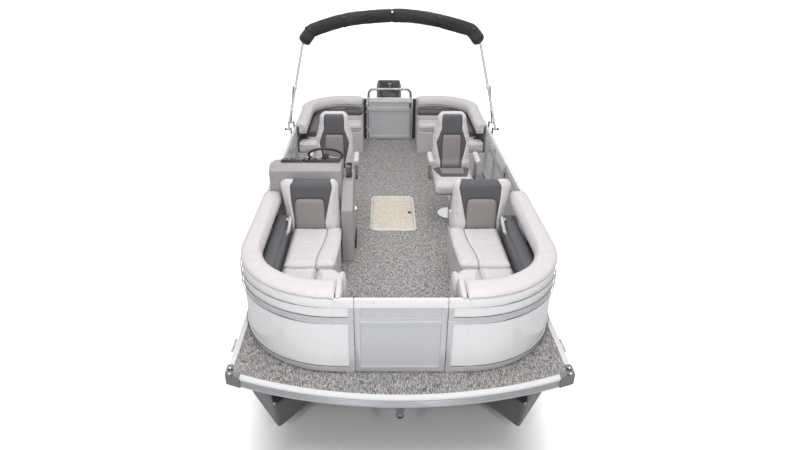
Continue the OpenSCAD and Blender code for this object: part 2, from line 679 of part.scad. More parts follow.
module port_chair_back() color("#c8c3bf") port_chair_at() chair_back();

// ---------------------------------------------------------------- hatch
lid_gap = 5;
hatch_pin_z = 12.5;
module hatch_locker() color("#e9e8e4") on_deck() {
    w = hatch_x - 0.5;
    difference() {
        union() {
            translate([-w, hatch_y + 0.5, -locker_d]) linear_extrude(locker_d) rounded(2 * w, hatch_len - 1, 60);
            translate([-hatch_x - 14, hatch_y - 14, 0]) linear_extrude(4) rounded(2 * hatch_x + 28, hatch_len + 28, 74);
        }
        translate([-w + 8, hatch_y + 8.5, -locker_d + 8]) linear_extrude(locker_d + 20)
            rounded(2 * w - 16, hatch_len - 17, 52);
    }
    // hinge lugs on the starboard edge
    for (y = [0.2, 0.8]) translate([-hatch_x - 1, hatch_y + y * hatch_len, hatch_pin_z]) rotate([90, 0, 0])
        translate([0, 0, -45]) {
            tube_at(90, 4);
            for (z = [0, 60]) translate([0, 0, z]) {
                tube_at(30, 8);
                translate([-14, -8.2, 0]) cube([14, 8, 30]);
            }
        }
}
module hatch_lid() color("#efe9da") on_deck() {
    w = hatch_x - 9 - lid_gap;
    translate([-w, hatch_y + 9 + lid_gap, -22]) linear_extrude(26)
        rounded(2 * w, hatch_len - 18 - 2 * lid_gap, 48);
    for (y = [0.2, 0.8]) translate([-hatch_x - 1, hatch_y + y * hatch_len, hatch_pin_z]) rotate([90, 0, 0])
        translate([0, 0, -14]) difference() {
            union() {
                tube_at(28, 8);
                translate([0, -8, 0]) cube([40, 8, 28]);
            }
            translate([0, 0, -1]) cylinder(r = 4 + hinge_gap, h = 30, $fn = small);
        }
}

// ---------------------------------------------------------------- stern gear
tow_y = fence_y1 + 120;
tow_x = 370;
tow_z = 770;
tow_r = 19;
module ski_tow_bar() color("silver") on_deck() {
    for (s = [-1, 1]) {
        rod([s * tow_x, tow_y, 4], [s * (tow_x - 50), tow_y, tow_z - 60], tow_r);
        rod([s * (tow_x - 50), tow_y, tow_z - 60], [s * (tow_x - 95), tow_y, tow_z - tow_r], tow_r);
        rod([s * (tow_x + 20), tow_y + 190, 5], [s * (tow_x - 46), tow_y + 12, tow_z - 100], 13);
        for (p = [[tow_x, 0], [tow_x + 20, 190]]) translate([s * p[0], tow_y + p[1], 0])
            cylinder(r = 42, h = 8, $fn = small);
        translate([s * (tow_x - 50), tow_y, tow_z - 60]) sphere(r = tow_r + 1, $fn = small);
        translate([s * (tow_x - 95), tow_y, tow_z - tow_r]) rotate([0, 90, 0]) sphere(r = tow_r + 1, $fn = small);
    }
    translate([0, tow_y, tow_z - tow_r]) bar_x(2 * (tow_x - 92), tow_r);
    translate([0, tow_y, tow_z - tow_r]) {
        cylinder(r = 12, h = 74, $fn = small);
        translate([0, 0, 74]) cylinder(r = 24, h = 12, $fn = small);
    }
}
module boarding_ladder() color("silver") place() translate([-ladder_x, ladder_y, deck_top + ladder_z]) {
    for (s = [-1, 1]) translate([s * ladder_w / 2, 0, 0]) {
        difference() {
            union() {
                bar_x(26, 17);
                translate([0, -14, 0]) rotate([90, 0, 0]) cylinder(r = 12, h = 586, $fn = small);
            }
            bar_x(30, 8 + hinge_gap);
        }
        translate([0, -600, 0]) sphere(r = 12, $fn = small);
    }
    for (y = [-240, -590]) translate([-ladder_w / 2, y, -6]) cube([ladder_w, 50, 12]);
}

module transom_pod() color("silver") place() {
    t = deck_len + 20;
    // the pod below the deck and the transom board it carries
    across(-300, 300) polygon([[notch_y - 420, under - member_h], [t - 60, under - member_h],
        [t - 60, 330], [notch_y - 100, 420]]);
    translate([-300, t - 60, 330]) cube([600, 50, tilt_z + 10 - 330]);
    // clamp bracket
    for (s = [-1, 1]) translate([s * 98 - 13, 0, 0]) difference() {
        across(0, 26) polygon([[t - 10, 400], [t - 10, tilt_z + 30], [tilt_y - 20, tilt_z + 48],
            [tilt_y + 20, tilt_z + 48], [tilt_y + 40, tilt_z], [t + 60, 400]]);
    }
    translate([0, tilt_y, tilt_z]) bar_x(222, 14);
    translate([-85, t - 10, 480]) cube([170, 20, 120]);
}
// the motor in its running attitude, about the tilt axis, then tipped up
module motor_at() place() translate([0, tilt_y, tilt_z]) rotate([tilt_rest, 0, 0]) children();
swivel_r = 20;
module motor_swivel() color("#2a2b2e") motor_at() difference() {
    union() {
        bar_x(166, 34);
        translate([-45, 0, -30]) cube([90, 130, 50]);
        translate([0, steer_y, -250]) cylinder(r = 42, h = 290, $fn = small);
    }
    bar_x(200, 14 + hinge_gap);
    translate([0, steer_y, -260]) cylinder(r = swivel_r + hinge_gap, h = 320, $fn = small);
}
module outboard_leg() color("#2a2b2e") motor_at() {
    translate([0, steer_y, -292]) cylinder(r = swivel_r, h = 372, $fn = small);
    // the yokes above and below the swivel, and the exhaust housing
    translate([-50, steer_y - 40, 46]) cube([100, 200, 44]);
    translate([-50, steer_y - 35, -300]) cube([100, 200, 44]);
    translate([-80, 180, -470]) linear_extrude(cowl_z0 + 470) rounded(160, 210, 70);
    translate([-cowl_x + 8, 68, cowl_z0 - 34]) linear_extrude(33.7) rounded(2 * cowl_x - 16, 544, 120);
    // gearcase, plate, skeg
    translate([-55, 200, -prop_drop]) linear_extrude(prop_drop - 460) rounded(110, 190, 50);
    translate([-110, 190, -prop_drop + prop_r + 22]) linear_extrude(12) rounded(220, 350, 80);
    translate([0, 150, -prop_drop]) rotate([-90, 0, 0]) cylinder(r = 56, h = prop_y - 152, $fn = small);
    translate([0, 150, -prop_drop]) sphere(r = 56, $fn = small);
    across(-7, 7) polygon([[190, -prop_drop], [340, -prop_drop], [345, -prop_drop - 165], [290, -prop_drop - 170]]);
    translate([0, prop_y - 4, -prop_drop]) rotate([-90, 0, 0]) cylinder(r = 12, h = 122, $fn = small);
}
module cowl_form(t) intersection() {
    across(-cowl_x - 5, cowl_x + 5) polygon([[60 + t, cowl_z0 - 1], [60 + t, cowl_z1 - 190], [90 + t, cowl_z1 - 80],
        [150 + t, cowl_z1 - 20 - t], [260, cowl_z1 - t], [420, cowl_z1 - 20 - t], [540 - t, cowl_z1 - 70 - t],
        [610 - t, cowl_z1 - 170], [640 - t, cowl_z1 - 330], [620 - t, cowl_z0 - 1]]);
    translate([-cowl_x + t, 60 + t, cowl_z0]) linear_extrude(cowl_z1 - cowl_z0)
        rounded(2 * (cowl_x - t), 580 - 2 * t, 130 - t);
    across(-cowl_x - 5, cowl_x + 5) translate([0, 0]) square([900, cowl_z1 + 10]);
    rotate([90, 0, 0]) translate([0, 0, -700]) linear_extrude(800) polygon([[-cowl_x + t, cowl_z0 - 1],
        [-cowl_x + t, cowl_z1 - 210], [-cowl_x + 45 + t, cowl_z1 - 60], [-90, cowl_z1 + 2 - t], [90, cowl_z1 + 2 - t],
        [cowl_x - 45 - t, cowl_z1 - 60], [cowl_x - t, cowl_z1 - 210], [cowl_x - t, cowl_z0 - 1]]);
}
module outboard_cowl() color("#17181a") motor_at() difference() {
    cowl_form(0);
    translate([0, 0, -0.5]) cowl_form(7);
}
module powerhead() color("#6d6f72") motor_at() translate([-130, 150, cowl_z0 + 0.2]) cube([260, 360, 380]);
module propeller() color("#2a2b2e") motor_at() translate([0, prop_y, -prop_drop]) rotate([-90, 0, 0]) difference() {
    union() {
        cylinder(r = 52, h = 110, $fn = small);
        for (a = [0, 120, 240]) rotate([0, 0, a]) translate([0, 0, 55]) rotate([28, 0, 0])
            translate([0, 0, -4]) linear_extrude(8) intersection() {
                translate([95, 0]) circle(r = 72, $fn = small);
                translate([30, -80]) square([prop_r - 30, 160]);
            }
    }
    translate([0, 0, -1]) cylinder(r = 12 + hinge_gap, h = 130, $fn = small);
}

// ---------------------------------------------------------------- bimini
module bimini_mounts() color("#2a2b2e") place() both() for (y = [bimini_y, bimini_y + brace_dy]) {
    translate([fence_w, y - 22, bimini_z - 75]) cube([12, 44, 92]);
    translate([(fence_w + leg_x + 30) / 2 + 2, y, bimini_z]) bar_x(leg_x + 30 - fence_w, 6);
    translate([leg_x + 24, y, bimini_z]) rotate([0, 90, 0]) cylinder(r = 17, h = 16, $fn = small);
}
module bimini_at() place() translate([0, bimini_y, bimini_z]) rotate([-bimini_lean, 0, 0]) children();
leg_r = 13;
eye_o = 15;
module bimini_frame() color("silver") bimini_at() both() {
    difference() {
        union() {
            rod([leg_x, 0, 0], [boot_end_x + 3, 0, boot_end_s - 4.9], leg_r);
            translate([leg_x, 0, 0]) bar_x(18, eye_o);
        }
        translate([leg_x, 0, 0]) bar_x(60, 6 + hinge_gap);
    }
    // slide fittings for the brace and the strap
    for (s = [250, slider_s]) translate([leg_x - leg_lean * s - 19, -16, s - 20]) cube([38, 32, 40]);
}
module bimini_boot() color("#1d1e21") bimini_at() {
    translate([0, 0, bimini_s - boot_R]) rotate([90, 0, 0]) rotate([0, 0, 90 - boot_a])
        rotate_extrude(angle = 2 * boot_a, $fn = 360) translate([boot_R, 0]) circle(r = boot_r, $fn = small);
    both() translate([boot_R * sin(boot_a), 0, bimini_s - boot_R * (1 - cos(boot_a))]) {
        sphere(r = boot_r + 2, $fn = fine);
        rotate([0, 90 + boot_end_a, 0]) cylinder(r = boot_r, h = boot_end_l, $fn = small);
    }
}
// the brace's top eye lies beside the leg's slide fitting
brace_top = [-leg_lean * slider_s + 28.5, slider_s * sin(bimini_lean) - brace_dy, slider_s * cos(bimini_lean)];
module bimini_braces() color("silver") place() both() translate([leg_x, bimini_y + brace_dy, bimini_z])
    difference() {
        union() {
            rod([0, 0, 0], brace_top, 8);
            bar_x(12, 13);
            translate(brace_top) bar_x(12, 13);
        }
        bar_x(40, 6 + hinge_gap);
    }

pontoon_tubes();
tube_risers();
cross_members();
deck();
deck_rails();
bow_castings();
cleats();
bow_eye();
fence_frames();
fence_panels();
bow_gate_frame();
bow_gate_panel();
stern_gate_frame();
stern_gate_panel();
side_gate_frame();
side_gate_panel();
bow_lounge_bases();
coamings();
lounge_side_panels();
bow_lounge_pads();
bow_backrests();
starboard_bow_seat();
port_bow_seat();
stern_lounge_bases();
stern_lounge_pads();
starboard_stern_seat();
port_stern_seat();
helm_console();
helm_wing();
helm_dash();
throttle();
steering_wheel();
chair_pedestals();
helm_chair_seat();
helm_chair_back();
port_chair_seat();
port_chair_back();
hatch_locker();
hatch_lid();
ski_tow_bar();
boarding_ladder();
transom_pod();
motor_swivel();
outboard_leg();
outboard_cowl();
powerhead();
propeller();
bimini_mounts();
bimini_frame();
bimini_boot();
bimini_braces();
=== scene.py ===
import math

import bmesh
import bpy
import numpy as np
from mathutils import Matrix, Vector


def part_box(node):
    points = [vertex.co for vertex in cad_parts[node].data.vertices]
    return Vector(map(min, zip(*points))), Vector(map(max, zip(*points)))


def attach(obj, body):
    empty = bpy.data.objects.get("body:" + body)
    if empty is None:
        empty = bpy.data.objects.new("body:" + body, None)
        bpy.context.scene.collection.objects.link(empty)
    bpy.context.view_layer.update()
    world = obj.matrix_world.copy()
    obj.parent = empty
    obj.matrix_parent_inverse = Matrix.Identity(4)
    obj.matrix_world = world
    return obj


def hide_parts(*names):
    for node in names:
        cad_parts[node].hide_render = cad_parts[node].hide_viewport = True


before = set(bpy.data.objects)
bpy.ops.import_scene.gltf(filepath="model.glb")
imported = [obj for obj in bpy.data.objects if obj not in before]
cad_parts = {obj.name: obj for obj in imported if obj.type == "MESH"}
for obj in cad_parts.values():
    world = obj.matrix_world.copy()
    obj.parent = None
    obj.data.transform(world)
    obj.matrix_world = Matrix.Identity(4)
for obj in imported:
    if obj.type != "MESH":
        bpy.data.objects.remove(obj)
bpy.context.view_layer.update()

# ---------------------------------------------------------------- studio
# A white sweep of floor and soft overhead light, with two small lamps beside the camera, which
# stands on a tall ladder off the bow. Every length below is in metres from the deck's front
# edge, on the centreline and at the deck's top.
deck = np.array([0.0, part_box("deck_rails")[0][1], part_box("deck")[1][2]])


def room(node):
    """A CAD node's lowest and highest corners, measured from the deck's front edge and top."""
    low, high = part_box(node)
    return np.array(low) - deck, np.array(high) - deck


def linear(colour):
    """An sRGB hex colour as linear light: the sRGB curve undone channel by channel."""
    c = np.array([int(colour[i:i + 2], 16) for i in (1, 3, 5)]) / 255
    return (*np.where(c <= 0.04045, c / 12.92, ((c + 0.055) / 1.055) ** 2.4).tolist(), 1.0)


def add(tree, kind, sockets=None, to=None, ramp=(), **settings):
    """A shader node with its settings, and its sockets set to a value or linked.

    A node given for a socket stands for its first live output, and a hex colour for its linear
    light. The new node's own first output goes to the socket given as to. ramp holds the place
    and colour of a colour ramp's two ends.
    """
    made = tree.nodes.new("ShaderNode" + kind)
    for key, value in settings.items():
        setattr(made, key, value)
    for end, (position, colour) in enumerate(ramp):
        made.color_ramp.elements[end].position = position
        made.color_ramp.elements[end].color = linear(colour)
    for key, value in (sockets or {}).items():
        if isinstance(value, bpy.types.Node):
            value = live(value)
        if isinstance(value, bpy.types.NodeSocket):
            tree.links.new(value, made.inputs[key])
        else:
            made.inputs[key].default_value = linear(value) if isinstance(value, str) else value
    if to is not None:
        tree.links.new(live(made), to)
    return made


def live(node):
    """A node's first output that is switched on."""
    return next(socket for socket in node.outputs if socket.enabled)


def linked(name, data):
    """A new object of the data, put into the scene."""
    thing = bpy.data.objects.new(name, data)
    bpy.context.collection.objects.link(thing)
    return thing


lens = bpy.data.cameras.new("ladder_camera")
lens.sensor_width, lens.lens, lens.shift_x, lens.clip_end = 36, 25.875, 0.025, 300
camera = linked("ladder_camera", lens)
camera.location = deck + (-0.148, -3.033, 2.946)
camera.rotation_euler = (math.radians(62.7), 0, 0)
bpy.context.scene.camera = camera
bpy.context.scene.view_settings.view_transform = "Standard"

world = bpy.data.worlds.new("studio_air")
bpy.context.scene.world = world
world.use_nodes = True
air = world.node_tree
air.nodes.clear()
ray = add(air, "LightPath").outputs
seen = add(air, "Math", {0: ray["Is Camera Ray"], 1: ray["Is Transmission Ray"]},
           operation="MAXIMUM")
seen = add(air, "Math", {0: seen, 1: ray["Is Glossy Ray"]}, operation="MAXIMUM")
soft = add(air, "Background", {"Color": "#FFFFFF", "Strength": 0.50})
white = add(air, "Background", {"Color": "#FFFFFF", "Strength": 1.0})
sky = add(air, "MixShader", {0: seen, 1: soft, 2: white})
add(air, "OutputWorld", {"Surface": sky})


def lamp(name, place, aim, width, length, watts):
    """A soft box: a rectangular area light at a place, turned to shine at its aim."""
    light = bpy.data.lights.new(name, "AREA")
    light.shape = "RECTANGLE"
    light.size, light.size_y, light.energy = width, length, watts
    box = linked(name, light)
    box.location = deck + place
    x, y, z = np.subtract(aim, place)
    turn = math.atan2(x, -y) if abs(x) + abs(y) > 1e-6 else 0
    box.rotation_euler = (math.atan2(math.hypot(x, y), -z), 0, math.pi + turn)


lamp("ceiling_panel", (0.0, 2.2, 5.2), (0.0, 2.2, 0.0), 5.0, 8.0, 175)
lamp("left_lamp", (-1.25, -3.3, 3.1), (-0.3, 1.5, 0.2), 0.45, 0.45, 44)
lamp("right_lamp", (1.05, -3.3, 3.1), (0.3, 1.5, 0.2), 0.45, 0.45, 44)


def finish(name, colour, roughness, metallic=0.0, grain=None, bump=None, wear=None):
    """A Principled material of one plain colour: itself, its tree, shader and coordinates.

    grain is a texture's kind, scale and detail. It presses the surface in by bump's strength
    and depth in metres, and spreads the roughness between wear's two ends.
    """
    made = bpy.data.materials.new(name)
    made.use_nodes = True
    tree = made.node_tree
    tree.nodes.clear()
    shader = add(tree, "BsdfPrincipled", {"Base Color": colour, "Roughness": roughness,
                                          "Metallic": metallic})
    add(tree, "OutputMaterial", {"Surface": shader})
    place = add(tree, "TexCoord").outputs["Object"]
    if grain:
        kind, scale, *detail = grain
        fine = {"Vector": place, "Scale": scale}
        if detail:
            fine["Detail"] = detail[0]
        fine = add(tree, kind, fine)
        if wear:
            add(tree, "MapRange", {"Value": fine, "To Min": wear[0], "To Max": wear[1]},
                to=shader.inputs["Roughness"])
        if bump:
            add(tree, "Bump", {"Height": fine, "Strength": bump[0], "Distance": bump[1]},
                to=shader.inputs["Normal"])
    return made, tree, shader, place


# the sweep is lit to white by itself, fading out under the boat so that its shadow stays
floor_paint, tree, shader, place = finish("white_floor_paint", "#E9E9E9", 0.9)
spot = add(tree, "SeparateXYZ", {0: place}).outputs
beyond = [add(tree, "Math", {0: add(tree, "Math", {0: axis}, operation="ABSOLUTE"), 1: edge},
              operation="SUBTRACT") for axis, edge in ((spot[0], 1.05), (spot[1], 3.55))]
away = add(tree, "Math", {0: beyond[0], 1: beyond[1]}, operation="MAXIMUM")
fade = add(tree, "MapRange", {"Value": away, "From Min": -0.25, "From Max": 0.55,
                              "To Min": 0.0, "To Max": 0.85}, interpolation_type="SMOOTHSTEP")
lift = add(tree, "Math", {0: add(tree, "LightPath").outputs["Is Camera Ray"], 1: fade},
           operation="MULTIPLY")
glow = add(tree, "Emission", {"Color": "#FFFFFF", "Strength": lift})
surface = next(node for node in tree.nodes if node.type == "OUTPUT_MATERIAL").inputs["Surface"]
add(tree, "AddShader", {0: shader, 1: glow}, to=surface)

reach = 90.0
floor_mesh = bpy.data.meshes.new("studio_floor")
floor_mesh.from_pydata([(-reach, -reach, 0), (reach, -reach, 0), (reach, reach, 0),
                        (-reach, reach, 0)], [], [(0, 1, 2, 3)])
floor_mesh.materials.append(floor_paint)
linked("studio_floor", floor_mesh)

# ---------------------------------------------------------------- tubes
# Two long tubes of rolled aluminium sheet, welded shut, with a pressed nose and a keel strip.
# The mill finish is dull and faintly streaked along the roll; its colour is painted darker than
# bare aluminium as painted shade, for the tubes lie in the boat's shadow. The weld beads stand
# proud.


def coat(material, *nodes):
    """Gives CAD nodes' own objects a material in each of their slots."""
    for node in nodes:
        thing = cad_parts[node]
        if not thing.material_slots:
            thing.data.materials.append(material)
        for slot in thing.material_slots:
            slot.material = material


def grid_faces(rows, columns, round_rows=False, round_columns=False):
    """Four-sided faces of a grid of points kept row by row; a round direction closes on itself."""
    r = np.arange(rows if round_rows else rows - 1)
    c = np.arange(columns if round_columns else columns - 1)
    r, c = np.meshgrid(r, c, indexing="ij")
    r2, c2 = (r + 1) % rows, (c + 1) % columns
    return np.stack([r * columns + c, r * columns + c2, r2 * columns + c2, r2 * columns + c],
                    -1).reshape(-1, 4)


def skinned(layers):
    """A closed form (points, quads, end caps) of equal rings of points, one after another."""
    rows, columns = len(layers), len(layers[0])
    return np.concatenate(layers), grid_faces(rows, columns, False, True), [
        list(range(columns)), list(range((rows - 1) * columns, rows * columns))]


def bar(path, radius, sides=14, loop=False):
    """A round bar: a circle of the radius carried along the path and square to it."""
    path = np.asarray(path, float)
    _, spread, axes = np.linalg.svd(path - path.mean(0))
    along = np.roll(path, -1, 0) - np.roll(path, 1, 0) if loop else np.gradient(path, axis=0)
    along /= np.linalg.norm(along, axis=1, keepdims=True)
    normal = axes[2]
    if spread[1] < 1e-6 * max(spread[0], 1e-9):
        normal = np.eye(3)[np.argmin(np.abs(along[0]))]
    radius = np.broadcast_to(np.asarray(radius, float), len(path))
    if not loop:                       # the ends are rounded over a quarter of the radius
        path = np.vstack([path[0], path[0] + along[0] * radius[0] * 0.25, path[1:-1],
                          path[-1] - along[-1] * radius[-1] * 0.25, path[-1]])
        along = np.vstack([along[0], along[0], along[1:-1], along[-1], along[-1]])
        radius = np.concatenate([[radius[0] * 0.75, radius[0]], radius[1:-1],
                                 [radius[-1], radius[-1] * 0.75]])
    side = np.cross(along, normal)
    side /= np.linalg.norm(side, axis=1, keepdims=True)
    up = np.cross(side, along)
    a = np.linspace(0, 2 * np.pi, sides, endpoint=False)
    ring = np.cos(a)[None, :, None] * side[:, None] + np.sin(a)[None, :, None] * up[:, None]
    rings = path[:, None] + radius[:, None, None] * ring
    if loop:
        return np.concatenate(rings), grid_faces(len(path), sides, True, True), []
    return skinned(rings)


def flipped(form):
    """The form's mirror image on the other side of the boat, its faces turned back outwards."""
    return form[0] * (-1, 1, 1), form[1][:, ::-1], [c[::-1] for c in form[2]]


def both_sides(forms):
    """The forms and their mirror images."""
    return forms + [flipped(form) for form in forms]


def closed_mesh(name, groups):
    """A mesh of closed forms in groups, set on the deck; each group has a material number."""
    points, quads, caps, kinds, start = [], [], [], [], 0
    for k, forms in enumerate(groups):
        for form in forms:
            points.append(form[0])
            quads.append(form[1] + start)
            caps += [[i + start for i in cap] for cap in form[2]]
            kinds.append((len(form[1]), len(form[2]), k))
            start += len(form[0])
    mesh = bpy.data.meshes.new(name)
    mesh.from_pydata(np.concatenate(points) + deck, [], np.concatenate(quads).tolist() + caps)
    kind = [np.full(counts[part], k) for part in (0, 1) for *counts, k in kinds]
    mesh.polygons.foreach_set("material_index", np.concatenate(kind).astype(np.int32))
    return mesh


def note(mesh, fields):
    """Keeps named numbers per point as attributes for the material to read."""
    for field, values in fields.items():
        mesh.attributes.new(field, "FLOAT", "POINT").data.foreach_set(
            "value", np.ascontiguousarray(values, np.float32))


def sealed(mesh):
    """Merges a mesh's doubled points and turns its faces outwards."""
    shell = bmesh.new()
    shell.from_mesh(mesh)
    bmesh.ops.remove_doubles(shell, verts=shell.verts, dist=1e-6)
    bmesh.ops.recalc_face_normals(shell, faces=shell.faces)
    shell.to_mesh(mesh)
    shell.free()


def piece(name, coats, body="hull", fields=None, sharp=35):
    """An object of closed forms, {material: [forms]}, shaded smooth up to a sharp angle."""
    mesh = closed_mesh(name, coats.values())
    note(mesh, fields or {})
    for material in coats:
        mesh.materials.append(material)
    sealed(mesh)
    mesh.shade_smooth()
    mesh.set_sharp_from_angle(angle=math.radians(sharp))
    thing = linked(name, mesh)
    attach(thing, body)
    return thing


# long faint streaks left by the mill's rolls, about 30 mm wide, and fine grit under them
rolled_aluminium, tree, shader, place = finish(
    "mill_finish_aluminium_painted_shade", "#B9BBBC", 0.38, 1.0, ("TexNoise", 900, 2), (0.25, 0.0004))
roll = add(tree, "Mapping", {"Vector": place, "Scale": (30, 1.2, 30)})
streak = add(tree, "TexNoise", {"Vector": roll, "Scale": 1.0, "Detail": 5})
add(tree, "MapRange", {"Value": streak, "To Min": 0.28, "To Max": 0.5},
    to=shader.inputs["Roughness"])
# the colour follows the streaks between two dark greys: painted shade, darker than bare aluminium,
# for the tubes in the boat's shadow
add(tree, "ValToRGB", {"Fac": streak}, ramp=((0, "#66686A"), (1, "#868889")),
    to=shader.inputs["Base Color"])
coat(rolled_aluminium, "pontoon_tubes", "tube_risers", "cross_members", "transom_pod")

tube_low, tube_high = room("pontoon_tubes")
tube_radius, keel_depth, seam_radius = 0.3175, 0.02, 0.3165
a = np.linspace(0, 2 * np.pi, 72, endpoint=False)
beads = [bar(np.stack([tube_high[0] - tube_radius + seam_radius * np.cos(a), np.full_like(a, y),
                       tube_low[2] + keel_depth + tube_radius + seam_radius * np.sin(a)], -1),
             0.004, 6, loop=True) for y in (1.1, 2.95, 4.75, tube_high[1] - 0.004)]
piece("tube_weld_beads", {rolled_aluminium: both_sides(beads)})

# ---------------------------------------------------------------- deck
# Plywood under a woven vinyl floor: flat grey, brown and pale threads about 3 mm wide, drawn
# here 5 mm wide so that their flecks show. It has a low, slightly waxy shine.
woven_floor, tree, shader, place = finish("woven_vinyl_floor", "#8E8985", 0.5)
warp, weft, patch = (
    add(tree, "TexNoise", {"Vector": add(tree, "Mapping", {"Vector": place, "Scale": threads}),
                           "Scale": 1.0, "Detail": detail})
    for threads, detail in (((190, 26, 1), 1.5), ((34, 200, 1), 1.5), ((90, 60, 1), 1)))
cross = add(tree, "Math", {0: weft, 1: 0.55, 2: warp}, operation="MULTIPLY_ADD")
flecks = add(tree, "ValToRGB", {"Fac": add(tree, "MapRange", {
    "Value": cross, "From Min": 0.57, "From Max": 1.0})})
for position, colour in ((0.0, "#4F4D4C"), (0.33, "#7F7C7B"), (0.55, "#A09D9C"), (0.8, "#CFCCCB")):
    flecks.color_ramp.elements.new(position).color = linear(colour)
flecks.color_ramp.elements.remove(flecks.color_ramp.elements[-1])
add(tree, "Mix", {"Factor": add(tree, "MapRange", {"Value": patch, "From Min": 0.4,
                                                   "From Max": 0.7, "To Max": 0.3}),
                  "A": flecks, "B": "#A39A93"}, data_type="RGBA", to=shader.inputs["Base Color"])
add(tree, "Bump", {"Height": cross, "Strength": 0.5, "Distance": 0.0012},
    to=shader.inputs["Normal"])
coat(woven_floor, "deck")

# ---------------------------------------------------------------- edge rail
# An aluminium extrusion bolted round the deck's edge: a flat top coated white and a ribbed
# satin face, with fine lines along it where it was drawn through its die.
edge_rail, tree, shader, place = finish("white_topped_edge_extrusion", "#D6D8DA", 0.32)
top = add(tree, "MapRange", {"Value": add(tree, "SeparateXYZ", {0: place}).outputs["Z"],
                             "From Min": float(deck[2] - 0.014),
                             "From Max": float(deck[2] - 0.010)})
add(tree, "Mix", {"Factor": top, "A": "#BDBFC2", "B": "#F1F1F2"}, data_type="RGBA",
    to=shader.inputs["Base Color"])
add(tree, "MapRange", {"Value": top, "To Min": 0.9, "To Max": 0.0},
    to=shader.inputs["Metallic"])
drawn = add(tree, "TexNoise", {"Vector": add(tree, "Mapping", {"Vector": place,
                                                               "Scale": (3, 3, 700)}),
                               "Scale": 1.0, "Detail": 3})
add(tree, "Bump", {"Height": drawn, "Strength": 0.15, "Distance": 0.0005},
    to=shader.inputs["Normal"])
coat(edge_rail, "deck_rails")

# ---------------------------------------------------------------- corner castings, cleats, eye
# Cast aluminium corners, black-chrome plated, each with two round bumper lumps held by a screw.
# Cleats are cast and polished; the bow eye is a welded and ground plate.
dark_plate = finish("black_chrome_plated_casting", "#86878A", 0.3, 1.0, ("TexNoise", 220, 3),
                    bump=(0.3, 0.0008), wear=(0.22, 0.4))[0]
chrome = finish("polished_stainless_steel", "#D9DADC", 0.12, 1.0, ("TexNoise", 160, 4),
                wear=(0.07, 0.2))[0]


def turned(profile, sides=24):
    """A lathe form about Z: a profile of (radius, height) carried round the axis."""
    profile = np.asarray(profile, float)
    a = np.linspace(0, 2 * np.pi, sides, endpoint=False)
    x, y = profile[:, :1] * np.cos(a), profile[:, :1] * np.sin(a)
    return skinned(np.stack([x, y, np.broadcast_to(profile[:, 1:], x.shape)], -1))


def moved(form, shift=(0, 0, 0), matrix=None):
    """A form turned by a matrix and then shifted."""
    points = form[0] if matrix is None else form[0] @ np.asarray(matrix, float).T
    return points + np.asarray(shift, float), form[1], form[2]


coat(dark_plate, "bow_castings")
coat(chrome, "cleats")
coat(rolled_aluminium, "bow_eye")
casting_low, casting_high = room("bow_castings")
dome = turned([(0.011, 0), (0.011, 0.002), (0.008, 0.005), (0.003, 0.007)], 20)
domes = [moved(dome, (casting_high[0] - inset, y, casting_high[2] - sunk))
         for inset, y, sunk in ((0.041, 0.232, 0.0005), (0.03, 0.30, 0.0045))]
piece("casting_screws", {chrome: both_sides(domes)})

# ---------------------------------------------------------------- fence and gates
# Square aluminium extrusions with soft edges: a white-coated top cap, a double middle rail and a
# bottom rail, all bent round the corners. Gloss white aluminium skins sit inside them.
fence_low, fence_high = room("fence_frames")
cap_foot = float(deck[2] + fence_high[2] - 0.068)     # coated above it, anodised below it
fence_metal, tree, shader, place = finish("satin_anodised_fence_rail", "#D6D8DB", 0.3, 0.6)
cap = add(tree, "MapRange", {"Value": add(tree, "SeparateXYZ", {0: place}).outputs["Z"],
                             "From Min": cap_foot, "From Max": cap_foot + 0.004})
add(tree, "Mix", {"Factor": cap, "A": "#D3D5D8", "B": "#F0F0F1"}, data_type="RGBA",
    to=shader.inputs["Base Color"])
add(tree, "MapRange", {"Value": cap, "To Min": 0.55, "To Max": 0.0}, to=shader.inputs["Metallic"])
drawn = add(tree, "Mapping", {"Vector": place, "Scale": (4, 4, 500)})
drawn = add(tree, "TexNoise", {"Vector": drawn, "Scale": 1.0, "Detail": 3})
add(tree, "MapRange", {"Value": drawn, "To Min": 0.24, "To Max": 0.4},
    to=shader.inputs["Roughness"])

# thin sheet is never dead flat: waves about 150 mm long and a fraction of a millimetre deep
gloss_skin, tree, shader, place = finish("gloss_white_coil_coated_sheet", "#EEEEF1", 0.16,
                                         grain=("TexNoise", 6, 1), bump=(0.25, 0.004))
shader.inputs["Coat Weight"].default_value = 0.5
shader.inputs["Coat Roughness"].default_value = 0.04
gate_skin = finish("grey_green_gate_sheet", "#CACCD0", 0.35, grain=("TexNoise", 5, 1),
                   bump=(0.2, 0.004))[0]
black_rubber = finish("black_extruded_rubber", "#2A2A2C", 0.55, grain=("TexNoise", 120, 3),
                      wear=(0.45, 0.65))[0]


def softened(name, node, width, body, made, segments=2, angle=30):
    """A node's own shape with its doubles merged and its edges rounded by the width."""
    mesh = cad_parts[node].data.copy()
    mesh.name = name
    shell = bmesh.new()
    shell.from_mesh(mesh)
    bmesh.ops.remove_doubles(shell, verts=shell.verts, dist=1e-5)
    bmesh.ops.dissolve_limit(shell, angle_limit=math.radians(1.5), verts=shell.verts,
                             edges=shell.edges)
    shell.to_mesh(mesh)
    shell.free()
    mesh.materials.clear()
    mesh.materials.append(made)
    mesh.shade_smooth()
    thing = linked(name, mesh)
    edge = thing.modifiers.new("rounded_edges", "BEVEL")
    edge.width, edge.segments = width, segments
    edge.limit_method, edge.angle_limit = "ANGLE", math.radians(angle)
    edge.harden_normals = edge.use_clamp_overlap = True
    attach(thing, body)
    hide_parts(node)


